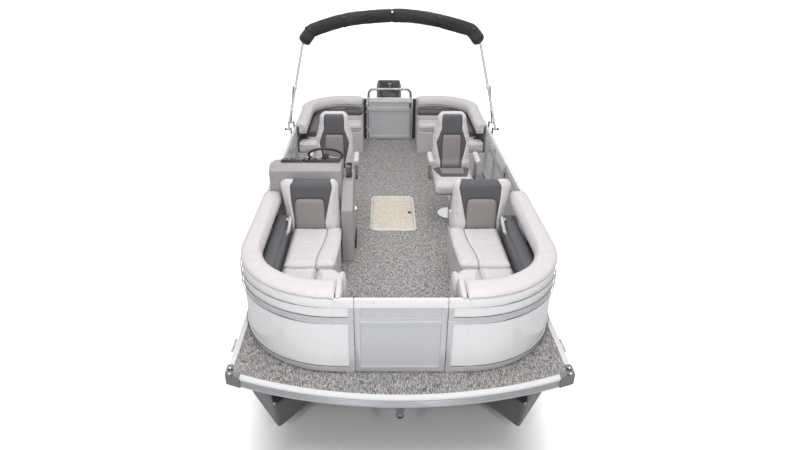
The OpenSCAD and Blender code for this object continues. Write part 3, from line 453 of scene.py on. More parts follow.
softened("fence_rails", "fence_frames", 0.003, "hull", fence_metal)
coat(gloss_skin, "fence_panels")
for gate in ("bow_gate", "stern_gate", "side_gate"):
    softened(gate + "_rails", gate + "_frame", 0.003, gate, fence_metal)
coat(gate_skin, "bow_gate_panel", "stern_gate_panel", "side_gate_panel")

# ---------------------------------------------------------------- shade strips and gate hardware
# Black strips lie where the skins enter the rails and up the gates' upright edges: painted shade
# for the shadow lines and gaps there. Each gate has a polished latch with a black lever on its
# cockpit side. Screws hold the bow gate.
def fence_line(inset, low_y, high_y):
    """The fence's starboard line in plan between two distances from the deck's front.

    Straights joined by two quarter circles, drawn in from its outer face by the inset.
    """
    w, y0, y1 = fence_high[0] - inset, fence_low[1] + inset, fence_high[1] - inset
    bow_r, stern_r = 0.78 - inset, 0.60 - inset
    a = np.linspace(0, np.pi / 2, 14)
    bow = np.stack([w - bow_r + bow_r * np.sin(a), y0 + bow_r - bow_r * np.cos(a)], -1)
    stern = np.stack([w - stern_r + stern_r * np.cos(a), y1 - stern_r + stern_r * np.sin(a)], -1)
    line = np.vstack([np.linspace((0.345, y0), bow[0], 4)[:-1], bow,
                      np.linspace(bow[-1], stern[0], 12)[1:-1], stern,
                      np.linspace(stern[-1], (0.355, y1), 4)[1:]])
    return line[(line[:, 1] >= low_y) & (line[:, 1] <= high_y)] * (-1, 1)


def level(line, z):
    """A line in plan taken to a height."""
    return np.column_stack([line, np.full(len(line), z)])


# black strips where the skins enter the rails, painted shade for the shadow lines in those joints,
# with a gap to port for the side gate
joint_shade_strips = [bar(level(fence_line(0.0052, *part), z) * (side, 1, 1), 0.0022, 6)
           for z in (0.0622, 0.4468, 0.5072, 0.5868)
           for side, parts in ((1, ((0.27, 5.66),)), (-1, ((0.27, 2.19), (2.86, 5.66))))
           for part in parts]
piece("fence_joint_shade_strips", {black_rubber: joint_shade_strips})

def toward(direction, up=(0, 0, 1)):
    """The turn that takes the Z axis to a direction and keeps Y near up."""
    z = np.asarray(direction, float)
    z = z / np.linalg.norm(z)
    if abs(np.dot(z, up)) > 0.99:
        up = (0, 1, 0)
    x = np.cross(up, z)
    x /= np.linalg.norm(x)
    return np.stack([x, np.cross(z, x), z], 1)


# small screws along the front of the bow gate's top and bottom rails
gate_low, gate_high = room("bow_gate_frame")
screw_head = turned([(0.0055, 0), (0.0055, 0.001), (0.004, 0.003), (0.001, 0.0036)], 14)
screws = [moved(screw_head, (s * x, gate_low[1] + 0.0005, z), toward((0, -1, 0)))
          for x in np.linspace(0.06, gate_high[0] - 0.02, 3).tolist()
          for z in (gate_low[2] + 0.012, gate_high[2] - 0.014) for s in (-1, 1)]
piece("bow_gate_screws", {chrome: screws}, "bow_gate")


def block(low, high, edge=0.003):
    """A block between two corners, its long edges and its ends cut back by the edge size."""
    low, high = np.asarray(low, float), np.asarray(high, float)
    size = high - low
    axis = int(np.argmax(size))
    u, v = [i for i in range(3) if i != axis]
    e = min(edge, 0.3 * min(size[u], size[v]))
    ring = np.array([(e, 0), (size[u] - e, 0), (size[u], e), (size[u], size[v] - e),
                     (size[u] - e, size[v]), (e, size[v]), (0, size[v] - e), (0, e)])
    centre = ring.mean(0)
    end = 1 - e / max(size[u], size[v])
    layers = []
    for t, k in ((0, end), (e, 1), (size[axis] - e, 1), (size[axis], end)):
        layer = np.zeros((8, 3))
        layer[:, [u, v]] = centre + (ring - centre) * k
        layer[:, axis] = t
        layers.append(layer + low)
    return skinned(layers)


# black upright strips either side of the stern gate: painted shade for the dark gap between the
# gate and the lounges
gap_shade_strips = [block((s * 0.375 - 0.022, 5.6015, 0.016), (s * 0.375 + 0.022, 5.6070, 0.640), 0.002)
          for s in (-1, 1)]
piece("stern_gate_gap_shade_strips", {black_rubber: gap_shade_strips})


def gate_trim(gate, axis, face, latch_side, half_width):
    """Black strips up both edges of a gate as painted shade for the gap beside it, and a latch with
    its lever, on its cockpit face.
    """
    low, high = room(gate + "_frame")
    near, far = max(low[axis], -half_width), min(high[axis], half_width)
    flat = 1 - axis
    out = 1 if face > (low[flat] + high[flat]) / 2 else -1
    latch_at = far - 0.022 if latch_side > 0 else near + 0.022
    latch_z = high[2] - 0.10

    def strip(middle, half, foot, top, sunk, proud, edge):
        """A block on the face: where and how wide, its heights, its depths and its edge."""
        a, b = np.zeros(3), np.zeros(3)
        a[axis], b[axis] = middle - half, middle + half
        a[flat], b[flat] = sorted((face + out * sunk, face + out * proud))
        a[2], b[2] = foot, top
        return block(a, b, edge)

    # the edge strips are black as painted shade for the dark gap along each gate's edges
    edge_shade_strips = [strip(edge, 0.0035, low[2] + 0.01, high[2] - 0.005, 0, 0.0025, 0.001)
             for edge in (near + 0.004, far - 0.004)]
    lever = strip(latch_at, 0.007, latch_z - 0.047, latch_z + 0.015, 0.011, 0.020, 0.003)
    latch = strip(latch_at, 0.013, latch_z - 0.035, latch_z + 0.035, 0, 0.012, 0.004)
    piece(gate + "_trim", {black_rubber: edge_shade_strips + [lever], chrome: [latch]}, gate)


# the end gates' frames are 0.66 m wide between their hinge knuckles, and the side gate's is all
# frame; the last size keeps the trim off the knuckles
gate_trim("bow_gate", 0, gate_high[1], -1, 0.33)
gate_trim("stern_gate", 0, 5.608, 1, 0.33)
gate_trim("side_gate", 1, 1.230, 1, math.inf)

# ---------------------------------------------------------------- lounge bases and soft goods
# Rotationally moulded bases carry sewn marine-vinyl cushions: foam under a pale skin with a
# fine leather grain, charcoal and grey panels let in, dark thread, and seams that pull it in.
moulded_base = finish("rotomoulded_polyethylene", "#D5D3D3", 0.5, grain=("TexVoronoi", 400),
                      bump=(0.15, 0.0006))[0]
coat(moulded_base, "bow_lounge_bases", "stern_lounge_bases", "hatch_locker")


def vinyl(name, colour, panels=()):
    """Sewn vinyl: grain about 1.5 mm across, slight shade changes, panels let in by attributes.

    Each panel is (attribute, colour): the attribute is the distance in metres inside its edge.
    The attribute named seam is the distance from the nearest seam, where the skin darkens.
    """
    made, tree, shader, place = finish(name, colour, 0.42)
    shader.inputs["Sheen Weight"].default_value = 0.06
    shade = add(tree, "TexNoise", {"Vector": place, "Scale": 14, "Detail": 3})
    shade = add(tree, "MapRange", {"Value": shade, "From Min": 0.3, "From Max": 0.7,
                                   "To Max": 0.16})
    skin = add(tree, "Mix", {"Factor": shade, "A": colour, "B": "#B9B2B0"}, data_type="RGBA")
    for field, let_in in panels:
        edge = add(tree, "Attribute", attribute_name=field).outputs["Fac"]
        within = add(tree, "MapRange", {"Value": edge, "From Min": -0.0008, "From Max": 0.0008})
        skin = add(tree, "Mix", {"Factor": within, "A": skin, "B": let_in}, data_type="RGBA")
    seam = add(tree, "Attribute", attribute_name="seam").outputs["Fac"]
    dark = add(tree, "MapRange", {"Value": seam, "From Min": 0.0016, "From Max": 0.0052,
                                  "To Min": 0.9, "To Max": 0.0})
    add(tree, "Mix", {"Factor": dark, "A": skin, "B": "#454142"}, data_type="RGBA",
        to=shader.inputs["Base Color"])
    leather = add(tree, "TexVoronoi", {"Vector": place, "Scale": 620}, feature="SMOOTH_F1")
    crease = add(tree, "TexNoise", {"Vector": place, "Scale": 26, "Detail": 4})
    both = add(tree, "Math", {0: leather, 1: crease}, operation="MULTIPLY")
    add(tree, "Bump", {"Height": both, "Strength": 0.3, "Distance": 0.0009},
        to=shader.inputs["Normal"])
    add(tree, "MapRange", {"Value": leather, "To Min": 0.36, "To Max": 0.52},
        to=shader.inputs["Roughness"])
    return made


PALE, CHARCOAL, INSERT = "#E2DCDE", "#525358", "#938D8C"
pale_vinyl = vinyl("pale_sewn_marine_vinyl", PALE)
panel_vinyl = vinyl("three_tone_sewn_marine_vinyl", PALE,
                    (("charcoal", CHARCOAL), ("insert", INSERT)))


def inward(outline):
    """An outline's inward normals, each square to the line between its point's neighbours."""
    ahead = np.roll(outline, -1, 0)
    along = ahead - np.roll(outline, 1, 0)
    along /= np.linalg.norm(along, axis=1, keepdims=True)
    turn = np.sign(np.sum(outline[:, 0] * ahead[:, 1] - ahead[:, 0] * outline[:, 1]))
    return np.stack([-along[:, 1], along[:, 0]], -1) * turn


def slab(outline, low, high, edge=0.02, rows=3):
    """A slab over a plan outline, its top and bottom edges rounded by a quarter circle."""
    outline = np.asarray(outline, float)
    t = np.linspace(0, np.pi / 2, rows)
    draw, rise = edge * (1 - np.sin(t)), edge * (1 - np.cos(t))
    steps = [*zip(draw, low + rise), *zip(draw[::-1], high - rise[::-1])]
    return skinned([level(outline + inward(outline) * d, z) for d, z in steps])


def rounded_outline(corners, radius, steps=6):
    """A plan outline whose corners are eased by parabolas; the radius may differ per corner."""
    corners = np.asarray(corners, float)
    radius = np.broadcast_to(np.asarray(radius, float), len(corners))
    out = []
    for i, c in enumerate(corners):
        p, q = corners[i - 1] - c, corners[(i + 1) % len(corners)] - c
        lp, lq = np.linalg.norm(p), np.linalg.norm(q)
        half = math.acos(np.clip(np.dot(p, q) / (lp * lq), -1, 1)) / 2
        reach = min(radius[i] / math.tan(half), 0.48 * lp, 0.48 * lq)
        if reach < 1e-6:
            out.append(c[None])
            continue
        a, b = c + p / lp * reach, c + q / lq * reach
        t = np.linspace(0, 1, steps)[:, None]
        out.append((1 - t) ** 2 * a + 2 * t * (1 - t) * c + t ** 2 * b)
    return np.vstack(out)


def rectangle(x0, x1, y0, y1, radius, steps=6):
    """A rounded rectangle in plan."""
    return rounded_outline([(x0, y0), (x1, y0), (x1, y1), (x0, y1)], radius, steps)


def read(mesh, what):
    """A mesh's point places or normals, as an array of rows."""
    rows = np.empty(len(mesh.vertices) * 3, np.float32)
    mesh.vertices.foreach_get(what, rows)
    return rows.reshape(-1, 3).astype(float)


def put(mesh, points):
    """Sets a mesh's points to places on the deck."""
    mesh.vertices.foreach_set("co", (points + deck).astype(np.float32).ravel())


def settled(thing):
    """Makes what an object's modifiers show its own mesh, takes them off and returns it."""
    view = bpy.context.evaluated_depsgraph_get()
    mesh = bpy.data.meshes.new_from_object(thing.evaluated_get(view))
    thing.modifiers.clear()
    thing.data = mesh
    return mesh


def plump(name, forms, body, made, cap, fields, voxel=0.009, fill=0.6, twin=None):
    """A padded piece: the forms remeshed, blown up as cloth by a little pressure, and finished.

    The cloth may move each point no further than the cap. Fields gives the material's attributes
    and a groove depth from the points and normals. A twin is the (name, body) of a mirror image.
    """
    thing = linked(name, closed_mesh(name, [forms]))
    sealed(thing.data)
    grid = thing.modifiers.new("even_grid", "REMESH")
    grid.mode, grid.voxel_size = "VOXEL", voxel
    even = thing.modifiers.new("even_out", "SMOOTH")
    even.factor, even.iterations = 0.5, 4
    points = read(settled(thing), "co") - deck
    cloth = thing.modifiers.new("skin", "CLOTH")
    skin = cloth.settings
    skin.quality, skin.mass = 4, 0.3
    skin.tension_stiffness = skin.compression_stiffness = 25
    skin.shear_stiffness, skin.bending_stiffness = 12, 0.8
    skin.use_pressure, skin.uniform_pressure_force = True, 4.0
    skin.effector_weights.gravity = 0
    cloth.collision_settings.use_collision = False
    cloth.point_cache.frame_start, cloth.point_cache.frame_end = 1, 14
    for now in range(1, 15):
        bpy.context.scene.frame_set(now)
    step = read(settled(thing), "co") - deck - points
    bpy.context.scene.frame_set(1)
    size = np.linalg.norm(step, axis=1, keepdims=True)
    points = points + step * np.minimum(1, cap / np.maximum(size, 1e-9))
    put(thing.data, points)
    finer = thing.modifiers.new("fine", "SUBSURF")
    finer.levels = finer.render_levels = 1
    fine = settled(thing)
    fine.name = name
    points, normal = read(fine, "co") - deck, read(fine, "normal")
    values = fields(points, normal)
    points = points - normal * values.pop("groove")[:, None]
    put(fine, points)
    note(fine, values)
    fine.materials.clear()
    fine.materials.append(made)
    fine.shade_smooth()
    pads = [(thing, body)]
    if twin:
        other = fine.copy()
        other.name = twin[0]
        put(other, points * (-1, 1, 1))
        other.flip_normals()
        pads.append((linked(twin[0], other), twin[1]))
    for pad, rides in pads:
        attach(pad, rides)
    return [pad for pad, rides in pads]


def pair(name, forms, made, cap, fields, lid="", **more):
    """A padded piece to starboard and its twin to port, on the hull or each on its own lid."""
    bodies = [side + lid if lid else "hull" for side in ("starboard_", "port_")]
    return plump("starboard_" + name, forms, bodies[0], made, cap, fields,
                 twin=("port_" + name, bodies[1]), **more)


def to_line(points, line):
    """Distance in metres from each point to a polyline in the same two or three axes."""
    line = np.asarray(line, float)
    best = np.full(len(points), 9.0)
    for a, b in zip(line[:-1], line[1:]):
        t = np.clip(((points - a) @ (b - a)) / max(np.dot(b - a, b - a), 1e-12), 0, 1)
        best = np.minimum(best, np.linalg.norm(points - (a + t[:, None] * (b - a)), axis=1))
    return best


def smooth_line(line, steps):
    """The line through the given points, rounded as a thin batten would lie through them."""
    line = np.asarray(line, float)
    s = np.concatenate([[0], np.cumsum(np.linalg.norm(np.diff(line, axis=0), axis=1))])
    slope = np.gradient(line, s, axis=0)
    t = np.linspace(0, s[-1], steps)
    i = np.clip(np.searchsorted(s, t, "right") - 1, 0, len(s) - 2)
    h = (s[i + 1] - s[i])[:, None]
    u = (t - s[i])[:, None] / h
    return ((2 * u ** 3 - 3 * u ** 2 + 1) * line[i] + (u ** 3 - 2 * u ** 2 + u) * h * slope[i]
            + (-2 * u ** 3 + 3 * u ** 2) * line[i + 1] + (u ** 3 - u ** 2) * h * slope[i + 1])


def pleat(distance, depth, width):
    """A sewn groove: its depth falls off from the seam as a bell of the width."""
    return depth * np.exp(-(distance / width) ** 2)


# ---------------------------------------------------------------- coamings
# A fat soft roll of foam under pale vinyl lies over the fence all round each lounge. It is
# stapled to a board on the fence's cap, and a seam is sewn across it at each corner.
def plan(side_x, front, bow_r, stern_y, stern_r):
    """The bow and stern corners of a line round the cockpit, each a quarter circle in plan."""
    a = np.linspace(0, np.pi / 2, 16)
    bow = np.stack([side_x - bow_r + bow_r * np.sin(a), front + bow_r - bow_r * np.cos(a)], -1)
    stern = np.stack([side_x - stern_r + stern_r * np.cos(a),
                      stern_y - stern_r + stern_r * np.sin(a)], -1)
    return bow, stern


def coaming(part):
    """A roll swept round the corner: rounded section, its outer lip over the fence's cap."""
    outer_x, inner_x, lip_x = 1.276, 1.104, 1.228
    outer_bow, outer_stern = plan(outer_x, 0.258, 0.785, 5.624, 0.570)
    inner_bow, inner_stern = plan(inner_x, 0.515, 0.556, 5.445, 0.455)
    if part == "bow":
        gate_x, end_y = 0.460, 2.054
        outer = np.vstack([[(gate_x, 0.258)], outer_bow,
                           [(outer_x, y) for y in np.linspace(1.15, end_y, 9)]])
        inner = np.vstack([[(gate_x, 0.515)], inner_bow,
                           [(inner_x, y) for y in np.linspace(1.17, end_y, 9)]])
        cross = ((-1.28, 0.80), (-0.99, 0.93))         # a seam sewn across the roll
    else:
        gate_x, end_y = 0.412, 4.158
        outer = np.vstack([[(1.246, y) for y in np.linspace(end_y, 4.93, 8)], outer_stern,
                           [(gate_x, 5.624)]])
        inner = np.vstack([[(inner_x, y) for y in np.linspace(end_y, 4.90, 8)], inner_stern,
                           [(gate_x, 5.445)]])
        cross = ((-1.27, 5.12), (-0.99, 4.98))
    # the section: from the inner line (0) to the outer (1), and the height above the deck
    lap = (lip_x - inner_x) / (outer[:, 0].max() - inner_x)
    section = np.array([(0.03, 0.562), (0.0, 0.585), (0.0, 0.628), (0.035, 0.662), (0.12, 0.685),
                        (0.35, 0.696), (0.68, 0.696), (0.90, 0.687), (0.985, 0.672), (0.99, 0.664),
                        (lap - 0.02, 0.661), (lap - 0.03, 0.565)])
    k, height = section[:, :1], section[:, 1]
    roll = [np.column_stack([near * (1 - k) + far * k, height]) * (-1, 1, 1)
            for near, far in zip(inner, outer)]
    line = (outer * 0.12 + inner * 0.88) * (-1, 1)

    def fields(points, normal):
        over = to_line(points[:, :2], cross)
        run = to_line(points[:, :2], line)
        low = np.where((run < 0.05) & (points[:, 2] < 0.64), np.abs(points[:, 2] - 0.596), 1.0)
        return {"seam": np.minimum(over * 1.6 + 0.0012, low),
                "groove": pleat(over, 0.0022, 0.006) + pleat(low, 0.003, 0.006)}

    return pair(part + "_coaming", [skinned(roll)], pale_vinyl, 0.008, fields, voxel=0.010,
                fill=0.75)


coamings = coaming("bow") + coaming("stern")
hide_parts("coamings")

# ---------------------------------------------------------------- side pads
# Bolsters stand under the coaming all round each lounge: foam on a board, screwed to the
# fence's inner face. The bow's are charcoal, and the stern's are pale below a charcoal band.
def inside(points, polygon):
    """Distance in metres inside a polygon's edge, negative outside it, in two axes."""
    ring = np.vstack([polygon, polygon[:1]]).astype(float)
    near = to_line(points, ring)
    odd = np.zeros(len(points), bool)
    for a, b in zip(ring[:-1], ring[1:]):
        over = (a[1] > points[:, 1]) != (b[1] > points[:, 1])
        at = a[0] + (points[:, 1] - a[1]) * (b[0] - a[0]) / ((b[1] - a[1]) or 1e-12)
        odd ^= over & (points[:, 0] < at)
    return np.where(odd, near, -near)


def band(name, line, dark):
    """An upright pad that follows a line in plan, its top edge rounded, thick outwards."""
    low, high, thick = 0.306, 0.550, 0.122
    line = np.asarray(line, float)
    along = np.gradient(line, axis=0)
    along /= np.linalg.norm(along, axis=1, keepdims=True)
    out = np.stack([-along[:, 1], along[:, 0]], -1)
    out *= np.sign(np.sum(out * (line - (0.5, line[:, 1].mean())), axis=1).mean())
    section = ((0.0, low + 0.01), (0.0, high - 0.03), (0.008, high - 0.008), (0.022, high),
               (thick - 0.01, high), (thick, high - 0.01), (thick, low + 0.01),
               (thick - 0.01, low), (0.01, low))
    sheets = [level(line + out * s, z) * (-1, 1, 1) for s, z in section]

    def fields(points, normal):
        leaf = inside(points[:, 1:], dark)
        seam = np.abs(leaf)
        return {"charcoal": leaf, "insert": leaf * 0 - 1, "seam": seam,
                "groove": pleat(seam, 0.005, 0.008)}

    return pair(name, [skinned(np.stack(sheets, 1))], panel_vinyl, 0.006, fields, voxel=0.013,
                fill=0.7)


bow_bend = [(0.990, 0.82), (0.968, 0.745), (0.93, 0.685), (0.875, 0.635), (0.80, 0.603),
            (0.72, 0.588), (0.665, 0.584)]
stern_bend = [(0.985, 5.08), (0.95, 5.18), (0.89, 5.26), (0.80, 5.315), (0.70, 5.335),
              (0.60, 5.340), (0.50, 5.340), (0.415, 5.340)]
pads = band("bow_side_pad", [(0.996, y) for y in np.linspace(1.842, 0.90, 12)] + bow_bend,
            [(0.2, 0.20), (1.90, 0.20), (1.90, 0.60), (0.2, 0.60)])
band("stern_side_pad", [(0.996, y) for y in np.linspace(4.345, 4.96, 8)] + stern_bend,
     [(3.0, 0.465), (7.0, 0.465), (7.0, 0.60), (3.0, 0.60)])
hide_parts("lounge_side_panels")

# ---------------------------------------------------------------- grab handles
# A long curved handle on each side of the bow lounge, moulded in grey plastic round a steel
# core. Two polished feet hold it to the side pad.
handle_grey = finish("grey_moulded_grab_handle", "#CFCDCE", 0.38, grain=("TexNoise", 500, 2),
                     bump=(0.2, 0.0004))[0]
grip = smooth_line([(-1.012, 1.715, 0.545), (-0.985, 1.715, 0.565), (-0.972, 1.690, 0.580),
                    (-0.968, 1.640, 0.572), (-0.972, 1.590, 0.540), (-0.982, 1.560, 0.505),
                    (-1.012, 1.552, 0.490)], 30)
foot = turned([(0.020, 0), (0.020, 0.004), (0.014, 0.010), (0.011, 0.014)], 20)
feet = [moved(foot, (-0.999, y, z), toward((1, 0, 0))) for y, z in ((1.715, 0.545), (1.552, 0.490))]
piece("bow_grab_handles", {handle_grey: both_sides([bar(grip, 0.0145, 16)]),
                           chrome: both_sides(feet)})

# ---------------------------------------------------------------- bow seats
# One cushion each side on a board hinged at its outer edge: foam under pale vinyl, with a
# thick rounded front roll sewn on along a curved seam.
roll_seam = smooth_line([(-0.647, 1.90), (-0.646, 1.76), (-0.650, 1.62), (-0.662, 1.50),
                         (-0.684, 1.37), (-0.696, 1.24), (-0.692, 1.08)], 30)
seat_plan = rounded_outline([(-0.978, 1.138), (-0.528, 1.138), (-0.520, 1.25), (-0.507, 1.41),
                             (-0.500, 1.55), (-0.502, 1.69), (-0.512, 1.834), (-0.978, 1.834)],
                            (0.03, 0.05, 0.1, 0.3, 0.3, 0.3, 0.03, 0.02))
seat_foot, pad_top, welt_z = 0.309, 0.408, 0.352    # the flat cushions' heights over the deck
bow_foot = 0.308                                    # the bow's fixed pads start 1 mm lower


def seat_fields(points, normal):
    """The curved seam of the front roll, a cross pleat, a welt round the side, a raised roll."""
    run = to_line(points[:, :2], roll_seam)
    side = inside(points[:, :2], [(-0.4, 0.9), (-0.4, 2.1)] + roll_seam.tolist())
    pleats = np.abs(points[:, 1] - 1.53 - 0.02 * np.sin(points[:, 0] * 9))
    up = np.clip(normal[:, 2] * 2, 0, 1)
    welt = np.abs(points[:, 2] - welt_z)
    seam = np.minimum(np.where(normal[:, 2] > -0.2, run, 1.0),
                      np.where(np.abs(normal[:, 2]) < 0.55, welt, 1.0))
    lift = np.clip(side / 0.05, 0, 1) * 0.008 * up
    return {"seam": seam, "groove": pleat(run, 0.011, 0.011) * np.clip(normal[:, 2] + 0.6, 0, 1)
            + pleat(pleats, 0.0022, 0.012) * up + pleat(welt, 0.002, 0.005) * (1 - up) - lift}


seats = pair("bow_seat_cushion", [slab(seat_plan, seat_foot, pad_top, 0.026, 4)], pale_vinyl,
             0.011, seat_fields, "bow_lid")
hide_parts("starboard_bow_seat")
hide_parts("port_bow_seat")

# ---------------------------------------------------------------- bow pads
# Fixed pads ahead of the seats: a flat pad, and a tall one that wraps the lounge's end
# beside the gate. Both are foam on boards under pale vinyl, with a welt round the side.
def across(profile, low_x, high_x, radius, rows=5, shape=None):
    """A cushion with one side profile (Y, Z) carried across in X, its two ends rounded.

    The profile draws in along its own inward normals near each end by a quarter circle.
    shape may bend each layer of points.
    """
    profile = np.asarray(profile, float)
    t = np.linspace(0, np.pi / 2, rows)
    rise, draw = radius * (1 - np.cos(t)), radius * (1 - np.sin(t))
    middle = np.linspace(low_x + radius, high_x - radius, 12)[1:-1]
    layers = []
    for x, d in [*zip(low_x + rise, draw), *((x, 0.0) for x in middle),
                 *zip(high_x - rise[::-1], draw[::-1])]:
        ring = profile + inward(profile) * d * 0.9
        layer = np.column_stack([np.full(len(ring), x), ring])
        layers.append(shape(layer) if shape else layer)
    return skinned(layers)


def plain_fields(height):
    """A plain pad: one welt round its side at a height, and its top left smooth."""
    def fields(points, normal):
        side = np.clip(1.6 - 2 * np.abs(normal[:, 2]), 0, 1)
        welt = np.abs(points[:, 2] - height)
        return {"seam": np.where(side > 0.4, welt, 1.0),
                "groove": pleat(welt, 0.0025, 0.005) * side}
    return fields


front_plan = rounded_outline([(-0.972, 0.76), (-0.676, 0.752), (-0.676, 1.116), (-0.974, 1.116)],
                             (0.09, 0.03, 0.02, 0.03))
gate_plan = rounded_outline([(-0.652, 0.590), (-0.434, 0.590), (-0.434, 0.80), (-0.50, 0.915),
                             (-0.652, 0.915)], (0.05, 0.05, 0.08, 0.09, 0.02), 8)
gate_end = [(0.272, 0.664), (0.278, 0.684), (0.50, 0.690), (0.555, 0.655), (0.60, 0.545),
            (0.86, 0.530), (0.905, 0.49), (0.905, 0.31), (0.60, 0.31), (0.52, 0.568),
            (0.312, 0.568), (0.308, 0.660)]
pads = pair("bow_front_pad", [slab(front_plan, bow_foot, pad_top, 0.026, 4)], pale_vinyl, 0.010,
            plain_fields(welt_z))
pair("bow_gate_pad", [slab(gate_plan, bow_foot, 0.529, 0.034, 4),
                      across(gate_end, -0.461, -0.424, 0.008, 3)], pale_vinyl, 0.010,
     plain_fields(0.474))
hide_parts("bow_lounge_pads")

# ---------------------------------------------------------------- bow backrests
# A tall backrest closes the aft end of each bow lounge: foam on a board bolted to the base,
# in pale vinyl with a charcoal arch let in from the top edge and a grey insert.
arch = rounded_outline([(-0.800, 0.90), (-0.930, 0.90), (-0.962, 0.838), (-0.997, 0.79),
                        (-0.990, 0.66), (-0.962, 0.46), (-0.958, 0.30), (-0.676, 0.30),
                        (-0.672, 0.46), (-0.630, 0.66), (-0.603, 0.78), (-0.624, 0.838),
                        (-0.650, 0.90)], 0.03, 5)
insert = rounded_outline([(-0.968, 0.30), (-0.668, 0.30), (-0.680, 0.668), (-0.956, 0.668)],
                         (0.01, 0.01, 0.05, 0.05), 8)
back_profile = rounded_outline([(1.856, 0.312), (1.866, 0.42), (1.964, 0.795), (1.995, 0.842),
                                (2.034, 0.842), (2.047, 0.80), (2.047, 0.312)],
                               (0.008, 0.2, 0.06, 0.02, 0.02, 0.03, 0.008), 5)


def panelled(charcoal, grey, drawn):
    """Distances inside a pad's two panels and to their nearest edge, kept only where drawn."""
    dark, let_in = (np.where(drawn, leaf, -1.0) for leaf in (charcoal, grey))
    seam = np.where(drawn, np.minimum(np.abs(charcoal), np.abs(grey)), 1.0)
    return dark, let_in, seam


def back_fields(arch, insert, face_z):
    """Panels drawn on the front of a backrest and over its top, with grooves at their edges."""
    def fields(points, normal):
        flat = points[:, [0, 2]]
        front = (normal[:, 1] < 0.35) | (points[:, 2] > face_z)
        dark, let_in, seam = panelled(inside(flat, arch), inside(flat, insert), front)
        puff = -0.006 * np.clip(let_in / 0.03, 0, 1)
        return {"charcoal": dark, "insert": let_in, "seam": seam,
                "groove": pleat(seam, 0.006, 0.008) + puff}
    return fields


def widened(layer):
    """Draws the outboard edge out above the seat, as the backrest spreads to the coaming."""
    x, z = layer[:, 0], layer[:, 2]
    out = np.clip((-0.72 - x) / 0.36, 0, 1) * np.interp(z, (0.3, 0.55, 0.70, 0.79, 0.86),
                                                       (0.055, 0.030, -0.014, -0.030, -0.006))
    inner = np.clip((x + 0.72) / 0.19, 0, 1) * np.interp(z, (0.3, 0.60, 0.78, 0.86),
                                                        (0.0, 0.0, 0.004, 0.030))
    return np.column_stack([x + out - inner, layer[:, 1:]])


backs = pair("bow_back_cushion", [across(back_profile, -1.080, -0.528, 0.05, shape=widened)],
             panel_vinyl, 0.012, back_fields(arch, insert, 0.80), fill=0.7)
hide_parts("bow_backrests")

# ---------------------------------------------------------------- stern lounges
# Each side has a hinged seat, an arm pad at its front and a corner pad that wraps to the
# gate. All are foam on boards under pale vinyl, with a welt sewn round the side.
seats = pair("stern_seat_cushion", [slab(rectangle(-0.978, -0.622, 4.353, 5.027, 0.035),
                                         seat_foot, pad_top, 0.026, 4)], pale_vinyl, 0.010,
             plain_fields(welt_z), "stern_lid")
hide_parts("starboard_stern_seat")
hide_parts("port_stern_seat")
pads = pair("stern_arm_pad", [slab(rectangle(-1.219, -0.641, 4.161, 4.329, 0.04),
                                   seat_foot, 0.447, 0.03, 4)], pale_vinyl, 0.009,
            plain_fields(0.40))
corner = rounded_outline([(-0.974, 5.05), (-0.414, 5.05), (-0.414, 5.322), (-0.974, 5.322)],
                         (0.03, 0.03, 0.04, 0.20), 8)
pair("stern_corner_pad", [slab(corner, seat_foot, pad_top, 0.026, 4)], pale_vinyl, 0.009,
     plain_fields(welt_z))
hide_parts("stern_lounge_pads")

# ---------------------------------------------------------------- captain's chairs
# Two swivel chairs: pale vinyl over foam on a moulded shell, tall back with square shoulders,
# a charcoal bib that narrows downwards, a grey insert, a rolled seat front, and arm pads.
chairs = {"helm_chair": np.array([-0.670, 2.960, 0.0]),
          "port_chair": np.array([0.670, 2.960, 0.0])}
tall_profile = rounded_outline([(0.232, 0.440), (0.232, 0.525), (0.253, 0.585), (0.338, 1.075),
                                (0.362, 1.116), (0.412, 1.112), (0.420, 1.080), (0.392, 0.82),
                                (0.362, 0.52), (0.326, 0.442)],
                               (0.01, 0.06, 0.1, 0.03, 0.015, 0.02, 0.03, 0.2, 0.2, 0.02), 5)
seat_profile = rounded_outline([(-0.330, 0.395), (-0.332, 0.470), (-0.300, 0.506),
                                (-0.200, 0.508), (0.05, 0.496), (0.212, 0.500), (0.212, 0.382),
                                (-0.290, 0.382)], (0.02, 0.03, 0.05, 0.1, 0.1, 0.01, 0.01, 0.03), 5)
half_seat, arm_x = 0.228, 0.257          # half the seat's width; an arm's place beside it


def shoulders(layer):
    """Draws the back in above the arms: full width below, narrower at the rounded top."""
    width = np.interp(layer[:, 2], [0.0, 0.76, 0.87, 0.99, 1.06, 1.10, 1.125],
                      [half_seat, half_seat, 0.219, 0.199, 0.170, 0.140, 0.118])
    return np.column_stack([layer[:, 0] * width / half_seat, layer[:, 1:]])


bib_edge = [(0.112, 0.40), (0.122, 0.56), (0.150, 0.68), (0.172, 0.77), (0.140, 0.85),
            (0.112, 0.92), (0.113, 1.00), (0.110, 1.082)]
bib = rounded_outline([(-x, z) for x, z in bib_edge[::-1]] + bib_edge,
                      (0.03,) + (0.05,) * 6 + (0.01, 0.01) + (0.05,) * 6 + (0.03,), 5)
bib_insert = rounded_outline([(-0.108, 0.40), (0.108, 0.40), (0.104, 0.86), (-0.104, 0.86)],
                             (0.01, 0.01, 0.03, 0.03), 8)
seat_dark = [(-0.210, 0.20), (-0.165, -0.02), (-0.140, -0.11), (0.140, -0.11), (0.165, -0.02),
             (0.210, 0.20)]
seat_insert = rounded_outline([(-0.140, 0.17), (-0.125, 0.0), (0.125, 0.0), (0.140, 0.17)], 0.02)
seat_roll = smooth_line([(-0.25, -0.12), (0, -0.185), (0.25, -0.12)], 16)


